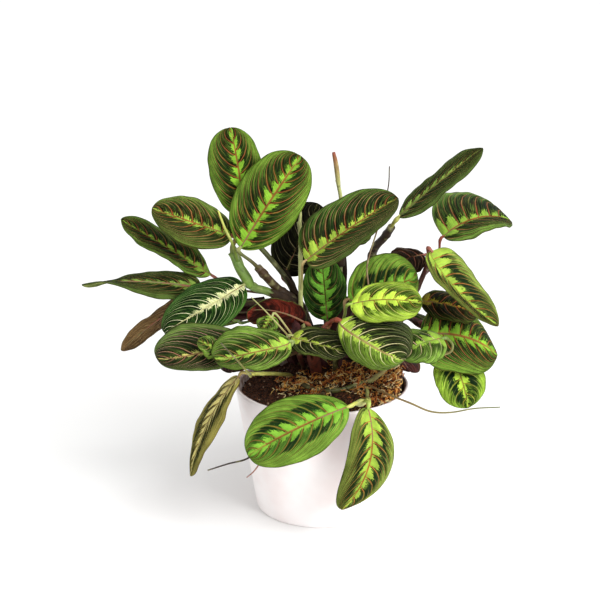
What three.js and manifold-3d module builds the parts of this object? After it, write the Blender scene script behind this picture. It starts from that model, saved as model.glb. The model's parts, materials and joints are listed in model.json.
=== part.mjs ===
// A potted prayer plant (maranta): a plain tapered pot, its mounded peat, creeping shoots with
// their leaf stalks, and forty-two oval blades. Millimetres, +Z up, origin under the pot's centre.
import * as THREE from 'three';
import { mergeVertices } from 'three/addons/utils/BufferGeometryUtils.js';
import Module from 'manifold-3d';

const wasm = await Module();
wasm.setup();

// Driving dimensions
const POT_HEIGHT = 96;
const POT_RIM_RADIUS = 65;
const POT_BASE_RADIUS = 49;
const POT_WALL = 3.2;
const POT_FLOOR = 5;
const POT_LIP = 1.1;
const POT_FOOT_CHAMFER = 1.5;
const POT_CORNER = 3;
const POT_SIDES = 48;
const SOIL_SIDES = 24;
const SOIL_EDGE_LEVEL = 80;
const SOIL_RINGS = [59.8, 53, 45, 37, 28, 18, 8];
const CLEARANCE = 0.35;
const PEAT_LEVEL = 88;
const STEM_FOOT_DEPTH = 12;
const STEM_FOOT_RISE = 2;
const STEM_SIDES = 5;
const STEM_STEP = 12;
const STEM_OVERLAP = 0.6;
const HOLE_SIDES = 10;
const HOLE_HEADROOM = 20;
const BLADE_THICKNESS = 0.8;
const BLADE_END_HALF_WIDTH = 0.7;
const LONG_BLADE = 50;
const WIDE_BLADE = 30;
const STALK_GAP = 0.6;
const STALK_RUN_IN = 3.6;
const GREEN = '#3f7a2c';
const PEAT_BROWN = '#2c1a10';
const POT_WHITE = '#f1efee';
const STALK_GREEN = '#6f8a4e';

// Solids: a closed three.js geometry goes through manifold-3d where pieces are joined or cut.
function toManifold(geometry) {
  const bare = geometry.clone();
  bare.deleteAttribute('normal');
  bare.deleteAttribute('uv');
  const welded = mergeVertices(bare);
  const index = Array.from(welded.index.array);
  const triangles = [];
  for (let i = 0; i < index.length; i += 3) {
    const [a, b, c] = index.slice(i, i + 3);
    if (a !== b && b !== c && c !== a) triangles.push(a, b, c);
  }
  const mesh = new wasm.Mesh({
    numProp: 3,
    vertProperties: new Float32Array(welded.attributes.position.array),
    triVerts: new Uint32Array(triangles),
  });
  return new wasm.Manifold(mesh);
}

function toGeometry(manifold) {
  const mesh = manifold.getMesh();
  const geometry = new THREE.BufferGeometry();
  geometry.setAttribute('position', new THREE.BufferAttribute(mesh.vertProperties, 3));
  geometry.setIndex(new THREE.BufferAttribute(mesh.triVerts, 1));
  geometry.computeVertexNormals();
  return geometry;
}

function namedMesh(name, geometry, color, roughness) {
  const material = new THREE.MeshStandardMaterial({ color, roughness, metalness: 0 });
  const mesh = new THREE.Mesh(geometry, material);
  mesh.name = name;
  return mesh;
}

function turned(profile, sides) {
  const points = profile.map(([radius, height]) => new THREE.Vector2(radius, height));
  const geometry = new THREE.LatheGeometry(points, sides);
  geometry.rotateX(Math.PI / 2);
  return geometry;
}

// Pot: one tapered shell with a solid flat floor and a softly rounded lip.
function potRadius(height) {
  return POT_BASE_RADIUS + (POT_RIM_RADIUS - POT_BASE_RADIUS) * height / POT_HEIGHT;
}

function potInnerRadius(height) {
  return potRadius(height) - POT_WALL;
}

function makePot() {
  const lipInset = 0.8 * POT_LIP;
  return toGeometry(toManifold(turned([
    [0, 0],
    [POT_BASE_RADIUS - POT_FOOT_CHAMFER, 0],
    [potRadius(POT_FOOT_CHAMFER), POT_FOOT_CHAMFER],
    [potRadius(POT_HEIGHT - POT_LIP), POT_HEIGHT - POT_LIP],
    [POT_RIM_RADIUS - lipInset, POT_HEIGHT],
    [POT_RIM_RADIUS - POT_WALL + lipInset, POT_HEIGHT],
    [potInnerRadius(POT_HEIGHT - POT_LIP), POT_HEIGHT - POT_LIP],
    [potInnerRadius(POT_FLOOR + POT_CORNER), POT_FLOOR + POT_CORNER],
    [potInnerRadius(POT_FLOOR) - POT_CORNER, POT_FLOOR],
    [0, POT_FLOOR],
  ], POT_SIDES)));
}

// Peat: fills the pot, mounded under the crown and heaped against the right of the rim.
function mound(x, y, centreX, centreY, height, spread) {
  const distance = (x - centreX) ** 2 + (y - centreY) ** 2;
  return height * Math.exp(-distance / (2 * spread ** 2));
}

function soilHeight(x, y) {
  const crumbs = 0.8 * Math.sin(0.35 * x + 1) * Math.sin(0.31 * y) + 0.5 * Math.sin(0.7 * x - 0.5 * y);
  return PEAT_LEVEL + mound(x, y, 8, 14, 17, 30) + mound(x, y, 51, -4, 16, 14) + crumbs;
}

function makeSoilBody() {
  const floor = POT_FLOOR + CLEARANCE;
  const surface = SOIL_EDGE_LEVEL + 1;
  const profile = [
    [0, floor],
    [potInnerRadius(floor) - POT_CORNER - 2 * CLEARANCE, floor],
    [potInnerRadius(floor + POT_CORNER) - CLEARANCE, floor + POT_CORNER],
    [potInnerRadius(SOIL_EDGE_LEVEL) - CLEARANCE, SOIL_EDGE_LEVEL],
    ...SOIL_RINGS.map((radius) => [radius, surface]),
    [0, surface],
  ];
  const geometry = turned(profile, SOIL_SIDES);
  const position = geometry.attributes.position;
  for (let i = 0; i < position.count; i += 1) {
    if (position.getZ(i) > SOIL_EDGE_LEVEL + 0.5) {
      position.setZ(i, soilHeight(position.getX(i), position.getY(i)));
    }
  }
  return toManifold(geometry);
}

// Tubes: stems and leaf stalks follow a smooth curve through their points.
function polygon(radius, sides) {
  const shape = new THREE.Shape();
  for (let i = 0; i < sides; i += 1) {
    const angle = 2 * Math.PI * i / sides;
    const corner = [radius * Math.cos(angle), radius * Math.sin(angle)];
    if (i === 0) shape.moveTo(...corner);
    else shape.lineTo(...corner);
  }
  shape.closePath();
  return shape;
}

function tube(points, radius) {
  const route = points.map((point) => new THREE.Vector3(...point));
  const extrudePath = new THREE.CatmullRomCurve3(route, false, 'catmullrom', 0.5);
  const steps = Math.max(3, Math.ceil(extrudePath.getLength() / STEM_STEP));
  const options = { steps, extrudePath, bevelEnabled: false };
  return toManifold(new THREE.ExtrudeGeometry(polygon(radius, STEM_SIDES), options));
}

function upright(x, y, bottom, height, radius, sides) {
  const options = { depth: height, bevelEnabled: false };
  const geometry = new THREE.ExtrudeGeometry(polygon(radius, sides), options);
  geometry.translate(x, y, bottom);
  return toManifold(geometry);
}

function onSoil(x, y, lift) {
  return [x, y, soilHeight(x, y) + lift];
}

// Blades. Each stands on its base point with [heading, pitch, roll] in degrees for the chord of
// its midrib, and [length, width]. arch bends the midrib, fold raises the two halves, curl turns
// their margins down, bow swings the midrib sideways, twist turns the blade about it, broad below
// 1 moves the widest place towards the base, and lean is how much wider one half is.
const degrees = THREE.MathUtils.degToRad;

function bladeFrame({ turn, arch }) {
  const [heading, pitch, roll] = turn.map(degrees);
  const along = new THREE.Vector3(
    Math.cos(pitch) * Math.cos(heading),
    Math.cos(pitch) * Math.sin(heading),
    Math.sin(pitch),
  );
  const up = new THREE.Vector3(
    -Math.sin(pitch) * Math.cos(heading),
    -Math.sin(pitch) * Math.sin(heading),
    Math.cos(pitch),
  );
  up.applyAxisAngle(along, roll);
  const side = up.clone().cross(along);
  const bend = degrees(arch) / 2;
  const start = along.clone().multiplyScalar(Math.cos(bend)).addScaledVector(up, Math.sin(bend));
  return { along, up, side, start };
}

function bladeHalfWidth(u, width, broad) {
  const v = u ** broad;
  const outline = (4 * v * (1 - v)) ** (0.5 + 0.12 * v ** 3);
  return Math.max(width / 2 * outline, BLADE_END_HALF_WIDTH);
}

function bladePoint(leaf, frame, u, across) {
  const { size: [length, width], fold, curl, bow, twist, broad, wave, phase, lean } = leaf;
  const arch = degrees(leaf.arch);
  const slope = arch * (0.5 - u);
  const forward = length * (Math.sin(arch / 2) - Math.sin(slope)) / arch;
  const rise = length * (Math.cos(slope) - Math.cos(arch / 2)) / arch;
  const normal = frame.up.clone().multiplyScalar(Math.cos(slope));
  normal.addScaledVector(frame.along, -Math.sin(slope));
  const turnAngle = degrees(twist) * (u - 0.5);
  const side = frame.side.clone().multiplyScalar(Math.cos(turnAngle));
  side.addScaledVector(normal, Math.sin(turnAngle));
  const lift = normal.clone().multiplyScalar(Math.cos(turnAngle));
  lift.addScaledVector(frame.side, -Math.sin(turnAngle));
  const reach = across * bladeHalfWidth(u, width, broad) * (1 + lean * Math.sign(across));
  const raise = degrees(across >= 0 ? fold[0] : fold[1]) - degrees(curl) * Math.abs(across);
  const ripple = wave * across ** 2 * Math.sin(2 * Math.PI * (1.6 * u + phase) + (across < 0 ? 2.1 : 0));
  return new THREE.Vector3(...leaf.base)
    .addScaledVector(frame.along, forward)
    .addScaledVector(frame.up, rise)
    .addScaledVector(frame.side, bow * 4 * u * (1 - u))
    .addScaledVector(side, reach * Math.cos(raise))
    .addScaledVector(lift, Math.abs(reach) * Math.sin(raise) + ripple);
}

function makeBlade(leaf) {
  const frame = bladeFrame(leaf);
  const [length, width] = leaf.size;
  const rows = length > LONG_BLADE ? 7 : 5;
  const columns = width > WIDE_BLADE ? 6 : 4;
  const at = (i, j) => {
    const u = (1 - Math.cos(Math.PI * i / rows)) / 2;
    return bladePoint(leaf, frame, u, 2 * j / columns - 1);
  };
  const upper = [];
  const lower = [];
  for (let i = 0; i <= rows; i += 1) {
    for (let j = 0; j <= columns; j += 1) {
      const alongStep = at(Math.min(i + 1, rows), j).sub(at(Math.max(i - 1, 0), j));
      const acrossStep = at(i, Math.min(j + 1, columns)).sub(at(i, Math.max(j - 1, 0)));
      const normal = alongStep.cross(acrossStep).normalize().multiplyScalar(BLADE_THICKNESS / 2);
      upper.push(...at(i, j).add(normal));
      lower.push(...at(i, j).sub(normal));
    }
  }
  const span = columns + 1;
  const under = (rows + 1) * span;
  const faces = [];
  for (let i = 0; i < rows; i += 1) {
    for (let j = 0; j < columns; j += 1) {
      const a = i * span + j;
      const [b, c, d] = [a + 1, a + span, a + span + 1];
      faces.push(a, c, b, b, c, d);
      faces.push(a + under, b + under, c + under, b + under, d + under, c + under);
    }
  }
  const rim = [];
  for (let j = 0; j < columns; j += 1) rim.push(j);
  for (let i = 0; i < rows; i += 1) rim.push(i * span + columns);
  for (let j = columns; j > 0; j -= 1) rim.push(rows * span + j);
  for (let i = rows; i > 0; i -= 1) rim.push(i * span);
  rim.forEach((a, k) => {
    const b = rim[(k + 1) % rim.length];
    faces.push(a, b, a + under, b, b + under, a + under);
  });
  const geometry = new THREE.BufferGeometry();
  geometry.setAttribute('position', new THREE.Float32BufferAttribute([...upper, ...lower], 3));
  geometry.setIndex(faces);
  return toGeometry(toManifold(geometry));
}

function leaf(name, base, turn, size, form = {}) {
  const usual = {
    arch: 30, fold: [8, 8], curl: 14, bow: 0, twist: 0, broad: 1, wave: 1.2, phase: 0, lean: 0,
  };
  return { name: `leaf_${name}`, base, turn, size, ...usual, ...form };
}

const LEAVES = [
  leaf('crown_1', [-57, 12, 219], [-161, 82, -116], [69, 41],
    { arch: 24, fold: [1, 2], curl: 12, bow: -2, broad: 1.15, lean: 0.15 }),
  leaf('crown_2', [-59, -10, 203], [3, 57, 72], [80, 51],
    { arch: 23, fold: [-1, 3], curl: 12, broad: 1.05, lean: 0.1 }),
  leaf('crown_3', [-12, -20, 196], [2, 35, 46], [80, 44],
    { arch: 26, fold: [16, 16], curl: 12, bow: -1, broad: 0.7, lean: 0.2 }),
  leaf('crown_4', [-28, 28, 172], [13, 64, 65], [59, 42], { arch: 20, curl: 12 }),
  leaf('crown_5', [-19, 17, 226], [148, 33, 65], [34, 36], { arch: 26, fold: [6, 6] }),
  leaf('crown_6', [18, 38, 188], [71, 20, -17], [39, 36], { fold: [6, 6] }),
  leaf('left_1', [-66, 8, 207], [-174, 21, -48], [62, 40],
    { arch: 23, fold: [17, 13], bow: 2, broad: 0.95 }),
  leaf('left_2', [-83, 22, 174], [-178, 33, -41], [78, 28],
    { arch: 26, fold: [24, 4], bow: 1, broad: 0.95, wave: 2.6, phase: 0.5, lean: 0.05 }),
  leaf('left_3', [-90, 11, 166], [-166, 6, -15], [88, 30], { arch: 20, twist: 90, broad: 0.8 }),
  leaf('left_4', [-97, 15, 157], [-166, -34, 56], [65, 24],
    { arch: 20, fold: [8, 4], curl: 10, broad: 0.85 }),
  leaf('left_5', [-58, 6, 170], [-143, -18, -32], [74, 39],
    { fold: [6, 19], bow: 3, broad: 0.95, lean: -0.05 }),
  leaf('left_6', [-70, 34, 198], [124, -5, -1], [54, 36], { fold: [6, 6] }),
  leaf('low_left_1', [-57, -41, 144], [-155, -3, -26], [67, 48], { arch: 34, curl: 16 }),
  leaf('low_left_2', [-71, -69, 142], [-170, 34, -37], [20, 18],
    { arch: 26, fold: [6, 6], curl: 10 }),
  leaf('low_left_3', [-24, -58, 148], [-153, -3, -25], [59, 44], { arch: 34 }),
  leaf('low_left_4', [-36, -32, 158], [-128, -36, -13], [14, 17],
    { arch: 26, fold: [6, 6], curl: 10 }),
  leaf('low_left_5', [-13, -8, 146], [-161, 17, 52], [47, 36], { arch: 50, fold: [6, 6] }),
  leaf('front_1', [-60, -48, 118], [-164, -63, -7], [81, 31],
    { arch: 12, fold: [4, 9], curl: 12, bow: -7, lean: -0.1 }),
  leaf('front_2', [17, -74, 105], [-157, -18, -42], [80, 49],
    { arch: 32, fold: [-1, 1], curl: 12, broad: 1.1, lean: -0.1 }),
  leaf('front_3', [31, -76, 105], [-141, -72, -52], [75, 40],
    { arch: 24, fold: [-23, 23], bow: 10, broad: 0.95, lean: 0.15 }),
  leaf('middle_6', [4, 9, 142], [-116, 78, -151], [52, 33], { arch: 24, fold: [6, 6], curl: 12 }),
  leaf('middle_1', [76, 31, 186], [-153, -10, -26], [29, 28], { arch: 34 }),
  leaf('middle_2', [19, -10, 164], [-5, 23, 52], [54, 50], { arch: 34 }),
  leaf('middle_3', [20, -38, 169], [-14, 5, 35], [52, 38], { arch: 40 }),
  leaf('middle_4', [12, -48, 160], [-31, -20, 25], [57, 62],
    { arch: 45, fold: [7, -15], curl: 30, bow: -2, broad: 1.05, lean: 0.3 }),
  leaf('middle_5', [-22, -40, 146], [-24, -7, 19], [45, 34]),
  leaf('right_1', [55, -6, 225], [-10, 42, 27], [78, 31],
    { arch: 14, fold: [10, 8], curl: 12, bow: -2 }),
  leaf('right_2', [90, 24, 202], [20, 7, 18], [60, 66],
    { arch: 76, fold: [11, 20], broad: 0.8, lean: 0.35 }),
  leaf('right_3', [78, -13, 201], [-31, -41, 30], [72, 40],
    { arch: 15, fold: [-10, 35], bow: -4, broad: 0.6, lean: 0.25 }),
  leaf('right_4', [73, 11, 156], [-5, -12, 24], [44, 34], { curl: 12 }),
  leaf('low_right_1', [71, -18, 139], [13, -18, 53], [64, 65],
    { arch: 38, fold: [-14, 2], bow: 5, broad: 0.85, lean: 0.15 }),
  leaf('low_right_2', [94, -5, 124], [-55, -60, 15], [46, 40],
    { arch: 40, fold: [7, 4], curl: 12 }),
  leaf('low_right_3', [85, -43, 145], [-151, -9, -25], [38, 36], { arch: 34 }),
  leaf('back_1', [-13, 46, 132], [119, -24, -32], [69, 44], { arch: 36, fold: [6, 6] }),
  leaf('back_2', [18, 38, 144], [70, -26, -5], [79, 46], { arch: 36, fold: [6, 6] }),
  leaf('back_3', [58, 30, 142], [58, -29, 4], [63, 42], { arch: 34, fold: [6, 6] }),
  leaf('back_4', [-62, 26, 135], [128, -21, -6], [58, 42], { arch: 34, fold: [6, 6] }),
  leaf('back_5', [3, 50, 125], [88, -37, -5], [74, 42], { arch: 40, fold: [6, 6] }),
  leaf('back_6', [39, 46, 110], [54, -34, -1], [70, 40], { arch: 40, fold: [6, 6] }),
  leaf('back_7', [-46, 44, 111], [122, -38, 2], [61, 38], { arch: 40, fold: [6, 6] }),
  leaf('back_8', [37, 26, 176], [78, -30, -3], [64, 40], { fold: [6, 6] }),
  leaf('back_9', [0, 44, 177], [108, 9, 8], [52, 38], { arch: 32, fold: [6, 6] }),
];

// Shoots. The first tube of a shoot is its main stem: its first point is where it stands in the
// peat. A tube that ends in a leaf's name runs on to that blade's base.
const SHOOTS = {
  shoot_sheath: [
    [2, [[-9, 24], [-14, 16, 132], [-24, 8, 156], [-40, 6, 165],
      [-53, 9, 169], [-61, 9, 182], [-66, 9, 194]]],
    [2.7, [[-53, 9, 168], [-55, 9, 173], [-61, 9, 183], [-66, 9, 194]]],
    [1.1, [[-65, 9, 191], [-66, 10, 198]], 'left_1'],
    [1.3, [[-62, 8, 187], [-65, -4, 204], [-70, -8, 216], [-75, -8, 230]]],
    [1.1, [[-47, 8, 166], [-50, 9, 170]], 'left_5'],
    [1, [[-56, 9, 176], [-61, 20, 188]], 'left_6'],
    [1, [[-37, 7, 163], [-61, 15, 164]], 'left_2'],
    [1, [[-31, 6, 160], [-61, 14, 155]], 'left_3'],
    [1, [[-26, 8, 156], [-61, 16, 146]], 'left_4'],
  ],
  shoot_crown: [
    [1.9, [[0, 30], [-7, 24, 125], [-17, 16, 152], [-33, 8, 167], [-47, -3, 186]]],
    [1.4, [[-44, -1, 182], [-51, -6, 191]], 'crown_2'],
    [1.5, [[-16, 17, 149], [-26, 16, 171], [-41, 15, 191], [-52, 14, 204]], 'crown_1'],
    [1, [[-12, 21, 138], [-17, 26, 154]], 'crown_4'],
  ],
  shoot_upright: [
    [1.4, [[3, 12], [-9, 4, 124], [-15, 0, 145], [-16, -2, 176], [-16, 1, 206], [-17, 6, 218]]],
    [1, [[-17, 5, 215], [-16, 12, 222]], 'crown_5'],
    [1, [[-16, 0, 164], [-15, -8, 179]], 'crown_3'],
    [1.1, [[-12, 3, 131], [-8, -2, 138]], 'low_left_5'],
  ],
  shoot_bud: [
    [1.3, [[13, 34], [12, 31, 135], [14, 29, 190], [14, 26, 226], [11, 24, 245]]],
    [1.7, [[12, 24, 240], [10, 23, 256], [8, 22, 266]]],
    [1, [[14, 30, 171], [15, 33, 180]], 'crown_6'],
    [1, [[12, 32, 123], [12, 34, 136]], 'back_2'],
  ],
  shoot_tall: [
    [0.8, [[25, 0], [29, -14, 138], [31, -25, 162], [33, -16, 174], [32, -10, 188],
      [35, -5, 200], [40, 1, 215], [47, 6, 242], [48, 7, 259]]],
  ],
  shoot_right: [
    [2.2, [[22, 42], [29, 34, 134], [34, 22, 173], [38, 13, 195], [45, 7, 206], [50, 0, 216]]],
    [1.4, [[48, 3, 211], [51, -2, 219]], 'right_1'],
    [1.1, [[33, 25, 162], [36, 23, 169]], 'back_8'],
  ],
  shoot_far_right: [
    [1.7, [[38, 18], [53, 18, 127], [67, 20, 154], [75, 16, 175], [78, 10, 187]]],
    [1.3, [[77, 11, 185], [77, -2, 193]], 'right_3'],
    [1, [[77, 12, 183], [83, 20, 187]], 'middle_1'],
    [1.1, [[75, 16, 175], [86, 24, 184]], 'right_2'],
    [1.1, [[61, 19, 143], [65, 14, 151]], 'right_4'],
  ],
  shoot_low_right: [
    [1.6, [[47, 10], [58, -2, 118], [67, -10, 127]]],
    [1.1, [[63, -6, 123], [70, -14, 130]], 'low_right_1'],
    [1.1, [[65, -8, 124], [82, -4, 118]], 'low_right_2'],
  ],
  shoot_low_left: [
    [1.9, [[-13, 12], [-16, -2, 116], [-17, -16, 130]]],
    [1.1, [[-17, -10, 124], [-26, -32, 128], [-25, -48, 137], [-23, -57, 144]], 'low_left_3'],
    [1, [[-16, -4, 118], [-34, -24, 138]], 'low_left_1'],
    [0.8, [[-25, -14, 128], [-45, -46, 138]], 'low_left_2'],
    [0.8, [[-17, -16, 130], [-25, -28, 147]], 'low_left_4'],
    [1, [[-16, -10, 124], [-24, -26, 137]], 'middle_5'],
    [0.7, [[-18, -14, 128], [-28, -43, 151], [-40, -44, 165], [-51, -34, 173]]],
  ],
  shoot_middle: [
    [1.7, [[10, 0], [10, -8, 128], [13, -14, 146]]],
    [1.1, [[13, -13, 142], [16, -18, 154]], 'middle_3'],
    [1.1, [[12, -12, 140], [16, -12, 153]], 'middle_2'],
    [1.1, [[10, -7, 124], [6, -4, 134]], 'middle_6'],
  ],
  shoot_front: [
    [1.8, [[-4, 0], [-6, -10, 121], [-3, -22, 140], [4, -32, 152]]],
    [1.5, [[1, -28, 147], [6, -37, 156]], 'middle_4'],
  ],
  shoot_back_left: [
    [1.7, [[-16, 40], [-24, 38, 117], [-32, 34, 130]]],
    [1, [[-23, 38, 113], [-12, 34, 128]], 'back_1'],
    [1.1, [[-29, 36, 125], [-45, 28, 136]], 'back_4'],
    [1, [[-21, 39, 108], [-32, 38, 115]], 'back_7'],
    [1, [[-29, 36, 126], [-16, 38, 152], [-3, 38, 172]], 'back_9'],
  ],
  shoot_back_right: [
    [1.7, [[32, 46], [34, 42, 115], [41, 36, 129]]],
    [1.1, [[39, 38, 125], [49, 30, 140]], 'back_3'],
    [1, [[32, 45, 101], [36, 40, 110]], 'back_6'],
    [1, [[34, 43, 111], [18, 40, 124], [7, 42, 127]], 'back_5'],
  ],
  runner_front: [
    [1.5, [[-16, -14], onSoil(-6, -22, 2.8), onSoil(8, -24, 2.8),
      onSoil(22, -20, 3), onSoil(33, -16, 2.8)]],
    [1.3, [onSoil(32, -17, 2), [44, -28, 115], [53, -36, 128], [69, -41, 133]]],
    [1, [[66, -39, 131], [88, -44, 134], [92, -46, 141]], 'low_right_3'],
    [2.6, [[30, -58, 103], [23, -68, 105]]],
    [1.3, [onSoil(32, -17, 2), onSoil(33, -30, 2.6), onSoil(33, -48, 10), [30, -60, 104]]],
    [1.1, [[24, -66, 105], [22, -70, 106]], 'front_2'],
    [1.2, [[31, -56, 103], [30, -68, 107]], 'front_3'],
    [0.8, [onSoil(32, -17, 2), [48, -42, 102], [62, -56, 101], [76, -62, 97],
      [90, -64, 97], [107, -64, 100], [125, -64, 101]]],
  ],
  shoot_hanging: [
    [1.2, [[-22, 2], [-32, -20, 110], [-44, -36, 116], [-52, -44, 119]]],
    [1, [[-49, -42, 118], [-54, -46, 120]], 'front_1'],
    [0.9, [[-52, -44, 119], [-51, -72, 127], [-53, -94, 139], [-59, -108, 152], [-69, -112, 165]]],
  ],
  runner_root: [
    [1, [[3, -26], [-8, -54, 104], [-19, -74, 101], [-37, -80, 84],
      [-52, -84, 71], [-67, -86, 67], [-81, -88, 63]]],
    [0.7, [[-28, -77, 93], [-40, -80, 73], [-48, -80, 60], [-54, -80, 54]]],
  ],
};

const leavesByName = Object.fromEntries(LEAVES.map((item) => [item.name, item]));

function stalkEnd(name) {
  const item = leavesByName[`leaf_${name}`];
  const { start } = bladeFrame(item);
  const behind = (distance) => [...new THREE.Vector3(...item.base).addScaledVector(start, -distance)];
  return [behind(STALK_RUN_IN), behind(STALK_GAP)];
}

function makeShoot(tubes) {
  const [stemRadius, stemPoints] = tubes[0];
  const [x, y] = stemPoints[0];
  const bottom = soilHeight(x, y) - STEM_FOOT_DEPTH;
  const height = STEM_FOOT_DEPTH + STEM_FOOT_RISE + STEM_OVERLAP;
  let body = upright(x, y, bottom, height, stemRadius, STEM_SIDES);
  for (const [radius, points, leafName] of tubes) {
    const route = points.map((point) => (point.length === 2 ? onSoil(...point, STEM_FOOT_RISE) : point));
    if (leafName) route.push(...stalkEnd(leafName));
    body = body.add(tube(route, radius));
  }
  return toGeometry(body);
}

function makeSoil() {
  let body = makeSoilBody();
  for (const tubes of Object.values(SHOOTS)) {
    const [stemRadius, [[x, y]]] = tubes[0];
    const radius = (stemRadius + CLEARANCE) / Math.cos(Math.PI / HOLE_SIDES);
    const depth = STEM_FOOT_DEPTH + CLEARANCE;
    const bottom = soilHeight(x, y) - depth;
    body = body.subtract(upright(x, y, bottom, depth + HOLE_HEADROOM, radius, HOLE_SIDES));
  }
  return toGeometry(body);
}

const plant = new THREE.Group();
plant.add(namedMesh('pot', makePot(), POT_WHITE, 0.35));
plant.add(namedMesh('soil', makeSoil(), PEAT_BROWN, 0.95));
for (const [name, tubes] of Object.entries(SHOOTS)) {
  plant.add(namedMesh(name, makeShoot(tubes), STALK_GREEN, 0.55));
}
for (const item of LEAVES) {
  plant.add(namedMesh(item.name, makeBlade(item), GREEN, 0.45));
}

export default plant;
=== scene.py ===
"""A potted prayer plant: white pot, crumbly peat, creeping shoots and patterned oval leaves.

The plain solids of the frame give each piece its place and size, in metres. Every piece here is
a finer one that stands for its solid. Lengths in the tables are millimetres.
"""

import json
import math
import random

import bmesh
import bpy
from bpy.props import FloatProperty, FloatVectorProperty, IntProperty, PointerProperty
from mathutils import Matrix, Vector, noise


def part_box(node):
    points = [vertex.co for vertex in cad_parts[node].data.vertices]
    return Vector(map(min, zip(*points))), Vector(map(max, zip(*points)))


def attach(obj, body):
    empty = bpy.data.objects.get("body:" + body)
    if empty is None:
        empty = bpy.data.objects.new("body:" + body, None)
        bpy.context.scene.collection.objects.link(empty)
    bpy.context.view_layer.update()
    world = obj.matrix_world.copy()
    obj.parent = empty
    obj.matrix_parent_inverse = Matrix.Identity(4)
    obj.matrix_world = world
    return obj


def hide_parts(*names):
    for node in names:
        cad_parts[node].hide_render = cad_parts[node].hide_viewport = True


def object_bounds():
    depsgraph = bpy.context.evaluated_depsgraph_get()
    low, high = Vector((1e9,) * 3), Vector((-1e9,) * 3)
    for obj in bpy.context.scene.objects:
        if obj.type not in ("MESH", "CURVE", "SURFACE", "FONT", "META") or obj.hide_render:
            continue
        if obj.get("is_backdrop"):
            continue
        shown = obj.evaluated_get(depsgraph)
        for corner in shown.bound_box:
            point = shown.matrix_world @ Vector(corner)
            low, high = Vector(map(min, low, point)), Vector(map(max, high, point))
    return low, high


bl_info = {
    "name": "Potted prayer plant",
    "version": (1, 0, 0),
    "blender": (4, 5, 0),
    "location": "View3D > Sidebar > Plant",
    "description": "Builds a potted prayer plant around its packed frame",
    "category": "Add Mesh",
}

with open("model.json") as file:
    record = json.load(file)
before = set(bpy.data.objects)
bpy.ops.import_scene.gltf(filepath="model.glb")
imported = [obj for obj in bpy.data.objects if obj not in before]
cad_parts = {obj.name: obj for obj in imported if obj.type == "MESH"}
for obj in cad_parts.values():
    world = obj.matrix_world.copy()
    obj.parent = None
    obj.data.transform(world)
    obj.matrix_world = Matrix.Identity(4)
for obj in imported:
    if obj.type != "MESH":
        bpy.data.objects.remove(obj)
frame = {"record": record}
FRAME_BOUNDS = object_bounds()
SLOTS = {row["node"]: row["material_slot"] for row in frame["record"]["subparts"]}

MM = 0.001
POT_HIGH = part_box("pot")[1]
POT_HEIGHT = POT_HIGH.z / MM
POT_RIM_RADIUS = POT_HIGH.x / MM
POT_BASE_RADIUS = 49
POT_WALL = 3.2
POT_FLOOR = 5
PEAT_LEVEL = 88
PEAT_REACH = 60
PEAT_PLAY = 0.4
STEM_FOOT_DEPTH = 12


def shade(code):
    """Linear colour of a #rrggbb code."""
    parts = [int(code[i:i + 2], 16) / 255 for i in (1, 3, 5)]
    linear = [c / 12.92 if c <= 0.04045 else ((c + 0.055) / 1.055) ** 2.4 for c in parts]
    return (*linear, 1.0)


def colour_property(name, code, description):
    """A colour that a user can change, from a #rrggbb code."""
    return FloatVectorProperty(
        name=name, description=description, subtype="COLOR", size=4, min=0, max=1,
        default=shade(code),
    )


# ---------------------------------------------------------------- settings


class PotSettings(bpy.types.PropertyGroup):
    """Finish of the pot."""

    glaze: colour_property("Glaze", "#fbf6f5", "Colour of the pot's satin white surface")
    stain: colour_property("Stain", "#7d5b46", "Peat stain on the inner wall near the rim")
    roughness: FloatProperty(
        name="Roughness", description="Roughness of the glaze", default=0.38, min=0, max=1,
        subtype="FACTOR",
    )
    sides: IntProperty(
        name="Sides", description="Faces round the pot", default=160, min=24, max=400,
    )


class PeatSettings(bpy.types.PropertyGroup):
    """Size and colour of the peat and what lies on it."""

    dark: colour_property("Dark peat", "#1d110b", "Colour in the hollows of the peat")
    light: colour_property("Light peat", "#6b3f25", "Colour on the crumbs of the peat")
    coir: colour_property("Coir", "#c08a45", "Colour where coir fibre shows")
    crumbs: IntProperty(
        name="Crumbs", description="Loose crumbs on the peat", default=2600, min=0, max=6000,
    )
    fibres: IntProperty(
        name="Fibres", description="Curled coir fibres", default=2300, min=0, max=4000,
    )


class ShootSettings(bpy.types.PropertyGroup):
    """Fineness of stems and leaf stalks."""

    sides: IntProperty(
        name="Sides", description="Faces round a stem", default=14, min=6, max=32,
    )
    ring_step: FloatProperty(
        name="Ring step", description="Length of stem between two rings, in millimetres",
        default=1.6, min=0.5, max=8,
    )


class LeafSettings(bpy.types.PropertyGroup):
    """Fineness and relief of the blades."""

    rows: IntProperty(
        name="Rows", description="Faces along a blade", default=84, min=8, max=160,
    )
    columns: IntProperty(
        name="Columns", description="Faces across a blade, an even number", default=36, min=4,
        max=80,
    )
    thickness: FloatProperty(
        name="Thickness", description="Thickness of a blade at its midrib, in millimetres",
        default=0.7, min=0.2, max=1.5,
    )
    quilting: FloatProperty(
        name="Quilting", description="How far a blade bulges between veins, in millimetres",
        default=0.7, min=0, max=1.5,
    )
    roughness: FloatProperty(
        name="Roughness", description="Roughness of the upper side", default=0.5, min=0, max=1,
        subtype="FACTOR",
    )


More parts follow.
